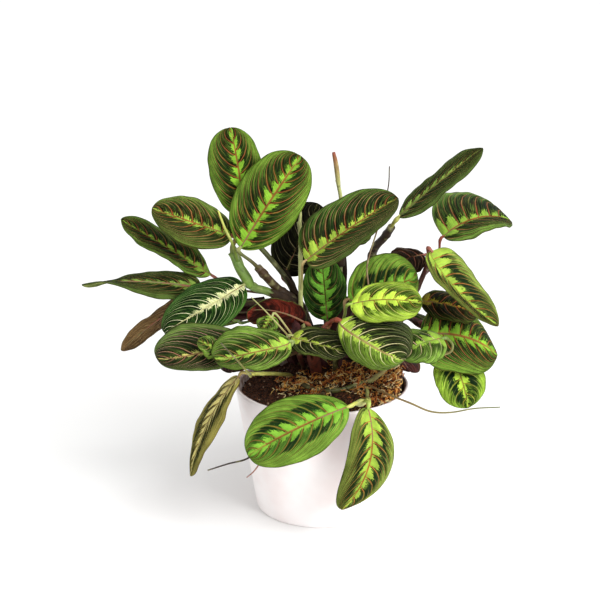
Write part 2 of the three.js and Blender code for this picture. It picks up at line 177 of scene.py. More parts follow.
class StageSettings(bpy.types.PropertyGroup):
    """Floor, light and camera."""

    floor: colour_property("Floor", "#f4f3f2", "Colour of the pale floor")
    key_power: FloatProperty(
        name="Key light", description="Power of the soft key light", default=14, min=0, max=400,
        unit="POWER",
    )
    sun_power: FloatProperty(
        name="Daylight", description="Strength of the soft even light from the front right",
        default=0.9, min=0, max=20,
    )
    sky: FloatProperty(
        name="Surround", description="Strength of the light from all round", default=0.92, min=0,
        max=4,
    )
    lens: FloatProperty(
        name="Lens", description="Focal length of the camera", default=96.4, min=20, max=300,
        unit="CAMERA",
    )


SETTINGS = {
    "plant_pot": PotSettings,
    "plant_peat": PeatSettings,
    "plant_shoots": ShootSettings,
    "plant_leaves": LeafSettings,
    "plant_stage": StageSettings,
}


# ---------------------------------------------------------------- small helpers


class Wires:
    """Short ways to add and join shader nodes."""

    def __init__(self, tree):
        self.tree = tree

    def node(self, kind, inputs, output=0, **settings):
        made = self.tree.nodes.new(kind)
        for key, value in settings.items():
            setattr(made, key, value)
        for key, value in inputs.items():
            if isinstance(value, bpy.types.NodeSocket):
                self.tree.links.new(value, made.inputs[key])
            else:
                made.inputs[key].default_value = value
        return made.outputs[output]

    def maths(self, operation, *values):
        return self.node("ShaderNodeMath", dict(enumerate(values)), operation=operation)

    def times(self, value, *factors):
        for factor in factors:
            value = self.maths("MULTIPLY", value, factor)
        return value

    def plus(self, first, second):
        return self.maths("ADD", first, second)

    def minus(self, first, second):
        return self.maths("SUBTRACT", first, second)

    def scaled(self, value, factor, offset):
        """The value times a factor, and an offset added."""
        return self.maths("MULTIPLY_ADD", value, factor, offset)

    def ease(self, value, start, end, low=0.0, high=1.0):
        """Goes smoothly from low to high as value goes from start to end."""
        inputs = {"Value": value, "From Min": start, "From Max": end, "To Min": low, "To Max": high}
        return self.node("ShaderNodeMapRange", inputs, interpolation_type="SMOOTHSTEP")

    def blend(self, amount, first, second, how="MIX"):
        inputs = {0: amount, 6: first, 7: second}
        return self.node("ShaderNodeMix", inputs, 2, data_type="RGBA", blend_type=how)

    def noise(self, vector, scale, detail=2.0, roughness=0.55):
        inputs = {"Vector": vector, "Scale": scale, "Detail": detail, "Roughness": roughness}
        return self.node("ShaderNodeTexNoise", inputs, "Fac")

    def attribute(self, name, output="Fac"):
        return self.node("ShaderNodeAttribute", {}, output, attribute_name=name)

    def vector(self, x, y, z):
        return self.node("ShaderNodeCombineXYZ", {"X": x, "Y": y, "Z": z})

    def place(self):
        return self.node("ShaderNodeTexCoord", {}, "Object")


def new_material(name):
    """An empty node material: (material, wires, its Principled shader)."""
    material = bpy.data.materials.new(name)
    material.use_nodes = True
    wires = Wires(material.node_tree)
    shader = material.node_tree.nodes["Principled BSDF"]
    return material, wires, shader


def coat(wires, shader, tone, roughness, gloss=0.5):
    """Gives a shader its colour, its roughness and how much it shines."""
    wires.tree.links.new(tone, shader.inputs["Base Color"])
    shader.inputs["Roughness"].default_value = roughness
    shader.inputs["Specular IOR Level"].default_value = gloss


def bumped(wires, shader, height, distance, strength):
    """Puts a height on a shader as bump."""
    inputs = {"Height": height, "Distance": distance, "Strength": strength}
    wires.tree.links.new(wires.node("ShaderNodeBump", inputs, "Normal"), shader.inputs["Normal"])


def placed(name, data):
    """A new object in the scene that holds a mesh, a light or a camera."""
    made = bpy.data.objects.new(name, data)
    bpy.context.scene.collection.objects.link(made)
    return made


def finish_piece(name, bm, materials, slot, *nodes):
    """Makes a bmesh in millimetres a smooth piece that rides on the plant and stands for nodes."""
    bmesh.ops.scale(bm, vec=(MM, MM, MM), verts=bm.verts)
    for face in bm.faces:
        face.smooth = True
    mesh = bpy.data.meshes.new(name)
    bm.to_mesh(mesh)
    bm.free()
    for material in materials:
        mesh.materials.append(material)
    piece = placed(name, mesh)
    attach(piece, "root")
    if nodes:
        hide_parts(*nodes)


# ---------------------------------------------------------------- pot


def pot_radius(height):
    return POT_BASE_RADIUS + (POT_RIM_RADIUS - POT_BASE_RADIUS) * height / POT_HEIGHT


def arc(centre, radius, start, end, steps):
    """Points of an arc in the pot's profile, with angles in degrees."""
    angles = [math.radians(start + (end - start) * i / steps) for i in range(steps + 1)]
    return [(centre[0] + radius * math.cos(a), centre[1] + radius * math.sin(a)) for a in angles]


def pot_profile():
    """Half section of the pot, from the middle of its underside to the middle of its floor."""
    foot = 1.8
    hollow = 0.6
    lip = POT_WALL / 2
    corner = 4
    outer_foot = (POT_BASE_RADIUS - foot + 0.2, foot)
    lip_centre = (POT_RIM_RADIUS - lip - 0.1, POT_HEIGHT - lip)
    inner_foot = (pot_radius(POT_FLOOR) - POT_WALL - corner, POT_FLOOR + corner)
    wall = [(pot_radius(z), z) for z in range(12, 85, 12)]
    inner_wall = [(pot_radius(z) - POT_WALL, z) for z in (86, 74, 60, 40, 20)]
    return [
        (0, hollow), (POT_BASE_RADIUS - 7, hollow), (POT_BASE_RADIUS - 5, 0),
        *arc(outer_foot, foot, -90, -10, 5), *wall,
        *arc(lip_centre, lip, 0, 180, 10), *inner_wall,
        *arc(inner_foot, corner, 0, -90, 5), (0, POT_FLOOR),
    ]


def turn_profile(bm, profile, sides):
    """Spins a half section round the upright axis into a closed skin."""
    verts = [bm.verts.new((radius, 0, height)) for radius, height in profile]
    edges = [bm.edges.new(pair) for pair in zip(verts, verts[1:])]
    bmesh.ops.spin(
        bm, geom=verts + edges, cent=(0, 0, 0), axis=(0, 0, 1), angle=math.tau, steps=sides,
        use_merge=True, use_duplicate=False,
    )
    bmesh.ops.remove_doubles(bm, verts=bm.verts, dist=1e-4)
    bmesh.ops.recalc_face_normals(bm, faces=bm.faces)


def glaze_material(settings):
    """Satin white glaze with faint unevenness and a peat stain on the inner wall."""
    material, wires, shader = new_material("pot_glaze")
    place = wires.place()
    cloud = wires.noise(place, 22.0, 3.0)
    tone = wires.blend(wires.ease(cloud, 0.35, 0.7), settings.glaze, shade("#f4e9e7"))
    split = wires.tree.nodes.new("ShaderNodeSeparateXYZ")
    wires.tree.links.new(place, split.inputs[0])
    squares = [wires.times(split.outputs[i], split.outputs[i]) for i in (0, 1)]
    radius = wires.maths("SQRT", wires.plus(*squares))
    lean = (POT_RIM_RADIUS - POT_BASE_RADIUS) / POT_HEIGHT
    wall = wires.minus(radius, wires.times(split.outputs[2], lean))
    inner = wires.ease(wall, (POT_BASE_RADIUS - 1.0) * MM, (POT_BASE_RADIUS - 2.4) * MM)
    smear = wires.ease(wires.noise(place, 160.0, 4.0), 0.3, 0.6, 0.35, 1.0)
    tone = wires.blend(wires.times(inner, smear), tone, settings.stain)
    coat(wires, shader, tone, settings.roughness)
    bumped(wires, shader, wires.noise(place, 90.0, 2.0), 0.00015, 0.25)
    return material


def build_pot(settings):
    bm = bmesh.new()
    turn_profile(bm, pot_profile(), settings.sides)
    finish_piece("pot_shell", bm, [glaze_material(settings)], SLOTS["pot"], "pot")


# ---------------------------------------------------------------- peat


def mound(x, y, centre, height, spread):
    distance = (x - centre[0]) ** 2 + (y - centre[1]) ** 2
    return height * math.exp(-distance / (2 * spread ** 2))


def peat_height(x, y):
    """Height of the peat: mounded under the crown and heaped against the right of the rim."""
    crumbs = 0.8 * math.sin(0.35 * x + 1) * math.sin(0.31 * y) + 0.5 * math.sin(0.7 * x - 0.5 * y)
    return PEAT_LEVEL + mound(x, y, (8, 14), 17, 30) + mound(x, y, (51, -4), 16, 14) + crumbs


COIR_SPOTS = (
    ((-20, -8), 8), ((-3, -18), 8), ((14, -6), 9), ((28, -9), 9), ((44, -14), 12), ((55, -10), 9),
    ((40, -34), 11), ((52, -26), 8),
)


def coir_share(x, y):
    """How much coir fibre shows at a place on the peat, from 0 to 1."""
    return min(1.0, sum(mound(x, y, centre, 0.9, spread) for centre, spread in COIR_SPOTS))


def peat_surface(x, y):
    """The peat's height with its crumbs and hollows."""
    place = Vector((x, y, 0))
    coarse = noise.fractal(place * 0.16, 0.9, 2.0, 3)
    fine = noise.fractal(place * 0.55 + Vector((40, 0, 7)), 0.8, 2.1, 4)
    return peat_height(x, y) + 1.5 * coarse + 1.1 * fine


def peat_material(settings):
    """Dark crumbly peat that turns to rusty coir where the coir share is high, with painted shade as
    near-black between the coir.
    """
    material, wires, shader = new_material("peat_crumb")
    place = wires.place()
    grain = wires.noise(place, 900.0, 5.0, 0.7)
    lump = wires.noise(place, 230.0, 3.0)
    tone = wires.blend(wires.ease(grain, 0.42, 0.68), settings.dark, settings.light)
    share = wires.attribute("coir")
    patchy = wires.times(share, wires.ease(lump, 0.46, 0.66, 0.0, 0.6))
    # Coir colour on the grain's highs and near-black on its lows: the near-black is painted shade between
    # the coir strands.
    rust = wires.blend(wires.ease(grain, 0.5, 0.62), shade("#170b05"), settings.coir)
    tone = wires.blend(patchy, tone, rust)
    speck = wires.ease(wires.noise(place, 1500.0, 2.0), 0.7, 0.76, 0.0, 0.5)
    tone = wires.blend(speck, tone, shade("#8f6a50"))
    coat(wires, shader, tone, 0.92, 0.25)
    bumped(wires, shader, grain, 0.0012, 0.8)
    return material


def build_peat(settings):
    floor = POT_FLOOR + PEAT_PLAY
    corner = 4
    edge_level = 80
    bm = bmesh.new()
    share = bm.verts.layers.float.new("coir")
    edge = pot_radius(edge_level) - POT_WALL - PEAT_PLAY
    rings = 84
    profile = [(0, floor), (pot_radius(floor) - POT_WALL - corner - PEAT_PLAY / 2, floor)]
    profile += [(pot_radius(floor + corner) - POT_WALL - PEAT_PLAY, floor + corner), (edge, edge_level)]
    profile += [((edge + 1) * (1 - i / rings), edge_level + 1) for i in range(rings + 1)]
    turn_profile(bm, profile, 240)
    for vert in bm.verts:
        if vert.co.z > edge_level + 0.5:
            x, y = vert.co.xy
            vert.co.z = peat_surface(x, y)
            vert[share] = coir_share(x, y)
    finish_piece("peat_surface", bm, [peat_material(settings)], SLOTS["soil"], "soil")


def tone_material(name, roughness, contrast):
    """A rough material that takes its colour from the piece's own tone attribute."""
    material, wires, shader = new_material(name)
    tone = wires.attribute("tone", "Color")
    grain = wires.noise(wires.place(), 1400.0, 3.0)
    tone = wires.blend(wires.ease(grain, 0.35, 0.7, contrast, 0.0), tone, shade("#120a06"))
    coat(wires, shader, tone, roughness, 0.3)
    bumped(wires, shader, grain, 0.0004, 0.6)
    return material


CLUMP_SPREAD = 0.8
BARE_GAP_SCALE, BARE_GAP_LEVEL = 0.21, -0.06


def scatter_place(rng, clump):
    """A random place on the peat: anywhere, or near one of the coir spots but for bare gaps."""
    while True:
        if clump:
            centre, spread = rng.choice(COIR_SPOTS)
            spread *= CLUMP_SPREAD
            x, y = rng.gauss(centre[0], spread), rng.gauss(centre[1], spread)
        else:
            angle, reach = rng.uniform(0, math.tau), math.sqrt(rng.random())
            x, y = PEAT_REACH * reach * math.cos(angle), PEAT_REACH * reach * math.sin(angle)
        bare = clump and noise.noise(Vector((x, y, 3)) * BARE_GAP_SCALE) < BARE_GAP_LEVEL
        if math.hypot(x, y) < PEAT_REACH and not bare:
            return x, y


def mixed(first, second, amount):
    return tuple(a + (b - a) * amount for a, b in zip(first, second))


def tone_layer(bm):
    """The vertex colours of a bmesh."""
    layers = bm.verts.layers.float_color
    return layers.get("tone") or layers.new("tone")


def skin_layer(bm):
    """Where each vertex lies on its tube's or sheath's unrolled skin."""
    layers = bm.verts.layers.float_vector
    return layers.get("skin") or layers.new("skin")


BATCH = 60


def gathered(count, add_one):
    """A bmesh of many small things. They are made in batches, which keeps each one quick."""
    bm = bmesh.new()
    for start in range(0, count, BATCH):
        batch = bmesh.new()
        for i in range(start, min(start + BATCH, count)):
            add_one(batch, i)
        mesh = bpy.data.meshes.new("batch")
        batch.to_mesh(mesh)
        batch.free()
        bm.from_mesh(mesh)
        bpy.data.meshes.remove(mesh)
    return bm


RED_GRAIN = shade("#87452a")
PALE_GRAIN = shade("#b99a7e")
CLUMPED_EVERY, RED_EVERY, PALE_EVERY, LARGE_EVERY = 3, 6, 17, 23
LARGE_CRUMB = 1.8


def build_crumbs(settings):
    """Loose lumps of peat, more of them and rustier among the coir."""
    rng = random.Random(11)
    rust, dark, light = settings.coir[:], settings.dark[:], settings.light[:]

    def add_crumb(bm, i):
        tone = tone_layer(bm)
        x, y = scatter_place(rng, i % CLUMPED_EVERY == 0)
        size = rng.uniform(0.5, 1.25) * (LARGE_CRUMB if i % LARGE_EVERY == 0 else 1.0)
        turn = Matrix.Rotation(rng.uniform(0, math.tau), 4, Vector((1, rng.random(), rng.random())))
        squash = Matrix.Diagonal((size, size * rng.uniform(0.6, 1), size * rng.uniform(0.4, 0.8), 1))
        place = Matrix.Translation((x, y, peat_surface(x, y) + 0.25 * size))
        lump = bmesh.ops.create_icosphere(bm, subdivisions=1, radius=1, matrix=place @ turn @ squash)
        colour = mixed(mixed(dark, light, rng.random()), rust, coir_share(x, y) * rng.random())
        if i % RED_EVERY == 0:
            colour = RED_GRAIN
        if i % PALE_EVERY == 0:
            colour = PALE_GRAIN
        for vert in lump["verts"]:
            vert[tone] = colour

    bm = gathered(settings.crumbs // (1), add_crumb)
    finish_piece("peat_crumbs", bm, [tone_material("crumb", 0.95, 0.7)], SLOTS["soil"])


# Coir fibre tones: the golden, tan and rust ones are the coir's own colours; the two near-black ones are
# painted shade, fibres standing in for the dark gaps between the coir.
COIR_AND_SHADE_TONES = [
    shade(code)
    for code in ("#f8c872", "#e6a048", "#c06c30", "#fce4a8", "#d48840", "#2a150b", "#7c3e1a", "#1c0e08")
]
FIBRE_POINTS = 8
RIM_SIDE_START, RIM_SIDE_WIDTH = 34, 26


def build_fibres(settings):
    """Curled coir fibres, tan to rusty, in loose tufts on the peat, some near-black as painted shade."""
    rng = random.Random(5)

    def add_fibre(bm, i):
        x, y = scatter_place(rng, True)
        curl = rng.uniform(1.0, 3.4)
        turn = rng.uniform(1.8, 5.6)
        start = rng.uniform(0, math.tau)
        lift = rng.uniform(-0.5, 3.4) * (1 + 1.6 * max(0.0, (x - RIM_SIDE_START) / RIM_SIDE_WIDTH))
        tilt = Matrix.Rotation(rng.uniform(-1.3, 1.3), 3, Vector((math.cos(start), math.sin(start), 0)))
        route = []
        for k in range(FIBRE_POINTS):
            angle = start + turn * k / (FIBRE_POINTS - 1)
            bow = Vector((curl * math.cos(angle), curl * math.sin(angle), 0.3 * k * rng.random()))
            route.append(tilt @ bow + Vector((x, y, peat_surface(x, y) + 0.4 + lift)))
        radius = rng.uniform(0.2, 0.44)
        colour = rng.choice(COIR_AND_SHADE_TONES)
        Tube(bm, sides=4).add(route, [radius] * FIBRE_POINTS, [colour] * FIBRE_POINTS)

    bm = gathered(settings.fibres // (1), add_fibre)
    finish_piece("coir_fibres", bm, [tone_material("coir", 0.8, 0.25)], SLOTS["soil"])


# ---------------------------------------------------------------- stems


def smooth_route(points, step):
    """Evenly spaced places on a smooth curve that runs through the points."""
    ends = [points[0] * 2 - points[1], *points, points[-1] * 2 - points[-2]]
    route = []
    for p0, p1, p2, p3 in zip(ends, ends[1:], ends[2:], ends[3:]):
        steps = max(2, round((p2 - p1).length / step))
        for i in range(steps):
            t = i / steps
            bend = (p1 * 3 - p0 - p2 * 3 + p3) * t ** 3 + (p0 * 2 - p1 * 5 + p2 * 4 - p3) * t ** 2
            route.append((p1 * 2 + (p2 - p0) * t + bend) / 2)
    return [*route, points[-1].copy()]


TUBE_SIDE = Vector((0.31, 0.87, 0.38))


class Tube:
    """Adds closed tubes to a bmesh, ring by ring, with the attributes that stems carry."""

    def __init__(self, bm, sides):
        self.bm = bm
        self.sides = sides
        self.tone = tone_layer(bm)
        self.skin = skin_layer(bm)

    def mark(self, ring, place, run, colour):
        """Notes each vertex's colour and its place on the unrolled skin."""
        back = place.inverted()
        for vert in ring:
            local = back @ vert.co
            vert[self.tone] = colour
            vert[self.skin] = (local.x, local.y, run)

    def add(self, route, radii, colours):
        places = []
        side = TUBE_SIDE.copy()
        for i, centre in enumerate(route):
            along = (route[min(i + 1, len(route) - 1)] - route[max(i - 1, 0)]).normalized()
            side = (side - along * side.dot(along)).normalized()
            turn = Matrix((side, along.cross(side), along)).transposed().to_4x4()
            size = Matrix.Diagonal((radii[i], radii[i], radii[i], 1))
            places.append(Matrix.Translation(centre) @ turn @ size)
        made = bmesh.ops.create_circle(self.bm, cap_ends=True, segments=self.sides, radius=1)
        ring = made["verts"]
        faces = list(ring[0].link_faces)
        edges = list({edge for vert in ring for edge in vert.link_edges})
        bmesh.ops.transform(self.bm, matrix=places[0], verts=ring)
        self.mark(ring, places[0], 0, colours[0])
        run = 0
        for i in range(1, len(route)):
            grown = bmesh.ops.extrude_edge_only(self.bm, edges=edges)["geom"]
            ring = [item for item in grown if isinstance(item, bmesh.types.BMVert)]
            faces += [item for item in grown if isinstance(item, bmesh.types.BMFace)]
            rim = set(ring)
            edges = [item for item in grown if isinstance(item, bmesh.types.BMEdge)]
            edges = [edge for edge in edges if rim.issuperset(edge.verts)]
            step = places[i] @ places[i - 1].inverted()
            bmesh.ops.transform(self.bm, matrix=step, verts=ring)
            run += (route[i] - route[i - 1]).length
            self.mark(ring, places[i], run, colours[i])
        faces += bmesh.ops.contextual_create(self.bm, geom=edges)["faces"]
        bmesh.ops.recalc_face_normals(self.bm, faces=faces)
        return faces


STALK_TINTS = {
    name: shade(code)
    for name, code in (
        ("green", "#6b8c3c"), ("leafy", "#7fa046"), ("pale", "#b3b872"), ("yellow", "#c9cb62"),
        ("olive", "#5f6a2f"), ("brown", "#44311c"), ("dark", "#2b1d14"), ("rust", "#8b3d26"),
        ("tan", "#a58257"), ("pink", "#9c5a4a"), ("plum", "#5a2326"), ("lime", "#9dbb4a"),
    )
}
STALK_GAP = 0.6
STALK_RUN_IN = 3.6
NODE_SPACING = 24


def stem_radius(share, run, left):
    """A stem thins slowly and swells a little at each node."""
    off_node = run % NODE_SPACING - NODE_SPACING / 2
    return 1.32 - 0.22 * share + 0.22 * math.exp(-(off_node / 1.7) ** 2)


def stalk_radius(share, run, left):
    """A leaf stalk is wide where it clasps its stem and has a swollen joint below the blade."""
    clasp = 0.6 * math.exp(-run / 6)
    joint = 0.4 * math.exp(-((left - 4.5) / 2.6) ** 2)
    return 0.92 - 0.1 * share + clasp + joint


def stick_radius(share, run, left):
    """A bare stick runs out to a blunt point."""
    return 1.1 - 0.6 * share ** 1.5


def sheath_radius(share, run, left):
    """A clasping sheath is widest in its lower middle."""
    return 1.05 + 0.35 * math.sin(math.pi * share ** 0.8) - 0.3 * share


def bud_radius(share, run, left):
    """A rolled leaf is a slim spindle with a blunt end."""
    return 0.6 + 0.5 * math.sin(math.pi * min(1.0, share * 0.85 + 0.12)) ** 0.7


def knot_radius(share, run, left):
    return 0.55 + 0.55 * math.sin(math.pi * share)


RADIUS_RULES = {
    "stem": stem_radius, "stalk": stalk_radius, "stick": stick_radius, "sheath": sheath_radius,
    "bud": bud_radius, "knot": knot_radius,
}


def on_peat(x, y, lift):
    return (x, y, peat_height(x, y) + lift)


# Each tube: rule for its radius, radius, first and last tint, points, and the leaf it carries.
# The first tube of a shoot starts with the place where it stands in the peat.
SHOOTS = {
    "shoot_sheath": (
        ("stem", 2.6, "dark", "leafy", (
            (-9, 24), (-14, 16, 132), (-24, 8, 156), (-40, 6, 165), (-53, 9, 169), (-61, 9, 182),
            (-66, 9, 194))),
        ("sheath", 3.2, "leafy", "green", ((-53, 9, 168), (-55, 9, 173), (-61, 9, 183), (-66, 9, 194))),
        ("stalk", 1.7, "leafy", "rust", ((-65, 9, 191), (-66, 10, 198)), "left_1"),
        ("stick", 1.3, "green", "yellow", (
            (-62, 8, 187), (-65, -4, 204), (-70, -8, 216), (-75, -8, 230))),
        ("stalk", 1.3, "green", "pale", ((-47, 8, 166), (-50, 9, 170)), "left_5"),
        ("stalk", 1, "green", "pale", ((-56, 9, 176), (-61, 20, 188)), "left_6"),
        ("stalk", 1, "brown", "pink", ((-37, 7, 163), (-61, 15, 164)), "left_2"),
        ("stalk", 1, "brown", "olive", ((-31, 6, 160), (-61, 14, 155)), "left_3"),
        ("stalk", 1, "brown", "dark", ((-26, 8, 156), (-61, 16, 146)), "left_4"),
    ),
    "shoot_crown": (
        ("stem", 2.8, "dark", "brown", (
            (0, 30), (-7, 24, 125), (-17, 16, 152), (-33, 8, 167), (-47, -3, 186))),
        ("stalk", 1.4, "brown", "olive", ((-44, -1, 182), (-51, -6, 191)), "crown_2"),
        ("stalk", 2.3, "dark", "olive", (
            (-16, 17, 149), (-26, 16, 171), (-41, 15, 191), (-52, 14, 204)), "crown_1"),
        ("stalk", 1, "dark", "rust", ((-12, 21, 138), (-17, 26, 154)), "crown_4"),
    ),
    "shoot_upright": (
        ("stem", 1.4, "pale", "pale", (
            (3, 12), (-9, 4, 124), (-15, 0, 145), (-16, -2, 176), (-16, 1, 206), (-17, 6, 218))),
        ("stalk", 1, "pale", "pale", ((-17, 5, 215), (-16, 12, 222)), "crown_5"),
        ("stalk", 1, "pale", "tan", ((-16, 0, 164), (-15, -8, 179)), "crown_3"),
        ("stalk", 1.1, "tan", "rust", ((-12, 3, 131), (-8, -2, 138)), "low_left_5"),
    ),
    "shoot_bud": (
        ("stem", 1.3, "olive", "pale", (
            (13, 34), (12, 31, 135), (14, 29, 190), (14, 26, 226), (11, 24, 245))),
        ("bud", 1.7, "pale", "rust", ((12, 24, 240), (10, 23, 256), (8, 22, 266))),
        ("stalk", 1, "olive", "green", ((14, 30, 171), (15, 33, 180)), "crown_6"),
        ("stalk", 1, "olive", "green", ((12, 32, 123), (12, 34, 136)), "back_2"),
    ),
    "shoot_tall": (
        ("stick", 0.8, "tan", "dark", (
            (25, 0), (29, -14, 138), (31, -25, 162), (33, -16, 174), (32, -10, 188),
            (35, -5, 200), (40, 1, 215), (47, 6, 242), (48, 7, 259))),
    ),
    "shoot_right": (
        ("stem", 2.6, "dark", "dark", (
            (22, 42), (29, 34, 134), (34, 22, 173), (38, 13, 195), (45, 7, 206), (50, 0, 216))),
        ("stalk", 1.4, "dark", "yellow", ((48, 3, 211), (51, -2, 219)), "right_1"),
        ("stalk", 1.1, "dark", "green", ((33, 25, 162), (36, 23, 169)), "back_8"),
    ),
    "shoot_far_right": (
        ("stem", 1.7, "olive", "plum", (
            (38, 18), (53, 18, 127), (67, 20, 154), (75, 16, 175), (78, 10, 187))),
        ("stalk", 1.3, "plum", "pink", ((77, 11, 185), (77, -2, 193)), "right_3"),
        ("stalk", 1, "plum", "pink", ((77, 12, 183), (83, 20, 187)), "middle_1"),
        ("stalk", 1.1, "plum", "rust", ((75, 16, 175), (86, 24, 184)), "right_2"),
        ("stalk", 1.1, "olive", "rust", ((61, 19, 143), (65, 14, 151)), "right_4"),
    ),
    "shoot_low_right": (
        ("stem", 1.6, "brown", "green", ((47, 10), (58, -2, 118), (67, -10, 127))),
        ("stalk", 1.1, "green", "green", ((63, -6, 123), (70, -14, 130)), "low_right_1"),
        ("stalk", 1.1, "green", "green", ((65, -8, 124), (82, -4, 118)), "low_right_2"),
    ),
    "shoot_low_left": (
        ("stem", 1.9, "brown", "plum", ((-13, 12), (-16, -2, 116), (-17, -16, 130))),
        ("stalk", 1.1, "plum", "green", (
            (-17, -10, 124), (-26, -32, 128), (-25, -48, 137), (-23, -57, 144)), "low_left_3"),
        ("stalk", 1, "brown", "pale", ((-16, -4, 118), (-34, -24, 138)), "low_left_1"),
        ("stalk", 0.8, "green", "dark", ((-25, -14, 128), (-45, -46, 138)), "low_left_2"),
        ("stalk", 0.8, "tan", "pale", ((-17, -16, 130), (-25, -28, 147)), "low_left_4"),
        ("stalk", 1, "plum", "pale", ((-16, -10, 124), (-24, -26, 137)), "middle_5"),
        ("stick", 0.7, "tan", "pale", (
            (-18, -14, 128), (-28, -43, 151), (-40, -44, 165), (-51, -34, 173))),
    ),
    "shoot_middle": (
        ("stem", 1.7, "brown", "olive", ((10, 0), (10, -8, 128), (13, -14, 146))),
        ("stalk", 1.1, "olive", "lime", ((13, -13, 142), (16, -18, 154)), "middle_3"),
        ("stalk", 1.1, "olive", "tan", ((12, -12, 140), (16, -12, 153)), "middle_2"),
        ("stalk", 1.1, "olive", "green", ((10, -7, 124), (6, -4, 134)), "middle_6"),
    ),
    "shoot_front": (
        ("stem", 2.2, "rust", "rust", ((-4, 0), (-6, -10, 121), (-3, -22, 140), (4, -32, 152))),
        ("stalk", 1.6, "rust", "rust", ((1, -28, 147), (6, -37, 156)), "middle_4"),
    ),
    "shoot_back_left": (
        ("stem", 1.7, "brown", "olive", ((-16, 40), (-24, 38, 117), (-32, 34, 130))),
        ("stalk", 1, "olive", "green", ((-23, 38, 113), (-12, 34, 128)), "back_1"),
        ("stalk", 1.1, "olive", "green", ((-29, 36, 125), (-45, 28, 136)), "back_4"),
        ("stalk", 1, "olive", "rust", ((-21, 39, 108), (-32, 38, 115)), "back_7"),
        ("stalk", 1, "olive", "green", ((-29, 36, 126), (-16, 38, 152), (-3, 38, 172)), "back_9"),
    ),
    "shoot_back_right": (
        ("stem", 1.7, "brown", "olive", ((32, 46), (34, 42, 115), (41, 36, 129))),
        ("stalk", 1.1, "olive", "rust", ((39, 38, 125), (49, 30, 140)), "back_3"),
        ("stalk", 1, "olive", "green", ((32, 45, 101), (36, 40, 110)), "back_6"),
        ("stalk", 1, "olive", "green", ((34, 43, 111), (18, 40, 124), (7, 42, 127)), "back_5"),
    ),
    "runner_front": (
        ("stem", 1.5, "brown", "olive", (
            (-16, -14), on_peat(-6, -22, 2.8), on_peat(8, -24, 2.8), on_peat(22, -20, 3),
            on_peat(33, -16, 2.8))),
        ("stem", 1.3, "pale", "pink", (
            on_peat(32, -17, 2), (44, -28, 115), (53, -36, 128), (69, -41, 133))),
        ("stalk", 1, "pink", "green", ((66, -39, 131), (88, -44, 134), (92, -46, 141)), "low_right_3"),
        ("knot", 2.6, "yellow", "pale", ((30, -58, 103), (23, -68, 105))),
        ("stem", 1.3, "pale", "yellow", (
            on_peat(32, -17, 2), on_peat(33, -30, 2.6), on_peat(33, -48, 10), (30, -60, 104))),
        ("stalk", 1.1, "yellow", "yellow", ((24, -66, 105), (22, -70, 106)), "front_2"),
        ("stalk", 1.2, "yellow", "lime", ((31, -56, 103), (30, -68, 107)), "front_3"),
        ("stick", 0.8, "tan", "olive", (
            on_peat(32, -17, 2), (48, -42, 102), (62, -56, 101), (76, -62, 97), (90, -64, 97),
            (107, -64, 100), (125, -64, 101))),
    ),
    "shoot_hanging": (
        ("stem", 1.2, "brown", "yellow", ((-22, 2), (-32, -20, 110), (-44, -36, 116), (-52, -44, 119))),
        ("stalk", 1, "yellow", "tan", ((-49, -42, 118), (-54, -46, 120)), "front_1"),
        ("stick", 0.9, "yellow", "dark", (
            (-52, -44, 119), (-51, -72, 127), (-53, -94, 139), (-59, -108, 152), (-69, -112, 165))),
    ),
    "runner_root": (
        ("stick", 1, "brown", "dark", (
            (3, -26), (-8, -54, 104), (-19, -74, 101), (-37, -80, 84), (-52, -84, 71),
            (-67, -86, 67), (-81, -88, 63))),
        ("stick", 0.7, "tan", "pink", ((-28, -77, 93), (-40, -80, 73), (-48, -80, 60), (-54, -80, 54))),
    ),
}


def stalk_material():
    """Smooth stalk skin with fine lengthwise streaks and faint speckles."""
    material, wires, shader = new_material("stalk_skin")
    tone = wires.attribute("tone", "Color")
    skin = wires.attribute("skin", "Vector")
    stretched = wires.node(
        "ShaderNodeVectorMath", {0: skin, 1: (1.6, 1.6, 0.1)}, "Vector", operation="MULTIPLY",
    )
    streak = wires.noise(stretched, 2.2, 3.0)
    mottle = wires.noise(wires.place(), 160.0, 2.0)
    tone = wires.blend(wires.ease(streak, 0.35, 0.75, 0.0, 0.5), tone, shade("#2a1a10"))
    tone = wires.blend(wires.ease(mottle, 0.5, 0.75, 0.0, 0.35), tone, shade("#c6c583"))
    coat(wires, shader, tone, 0.44, 0.4)
    bumped(wires, shader, streak, 0.0004, 0.5)
    return material


def stalk_route(points, leaf_name, first):
    """A tube's points as vectors, from inside the peat where it stands there, to inside the blade."""
    route = []
    if first:
        x, y = points[0]
        level = peat_height(x, y)
        route = [Vector((x, y, level - STEM_FOOT_DEPTH + 1)), Vector((x, y, level + 2))]
        points = points[1:]
    route += [Vector(point) for point in points]
    if leaf_name:
        leaf_row = LEAVES[leaf_name]
        start = blade_axes(leaf_row)["start"]
        base = Vector(leaf_row["base"])
        route += [base - start * STALK_RUN_IN, base + start * STALK_GAP * 2]
    return route


def tube_route(name, number, settings):
    """The smooth middle line of one tube of a shoot."""
    points, *leaf_name = SHOOTS[name][number][4:]
    leaf_name = leaf_name[0] if leaf_name else None
    return smooth_route(stalk_route(points, leaf_name, number == 0), settings.ring_step)


def build_shoots(settings):
    material = stalk_material()
    for name, tubes in SHOOTS.items():
        bm = bmesh.new()
        tube = Tube(bm, settings.sides)
        for number, (rule, radius, first_tint, last_tint, *_) in enumerate(tubes):
            route = tube_route(name, number, settings)
            runs = [0.0]
            for before, after in zip(route, route[1:]):
                runs.append(runs[-1] + (after - before).length)
            radii = [radius * RADIUS_RULES[rule](run / runs[-1], run, runs[-1] - run) for run in runs]
            ends = STALK_TINTS[first_tint], STALK_TINTS[last_tint]
            colours = [mixed(*ends, run / runs[-1]) for run in runs]
            tube.add(route, radii, colours)
        finish_piece(f"{name}_stems", bm, [material], SLOTS[name], name)


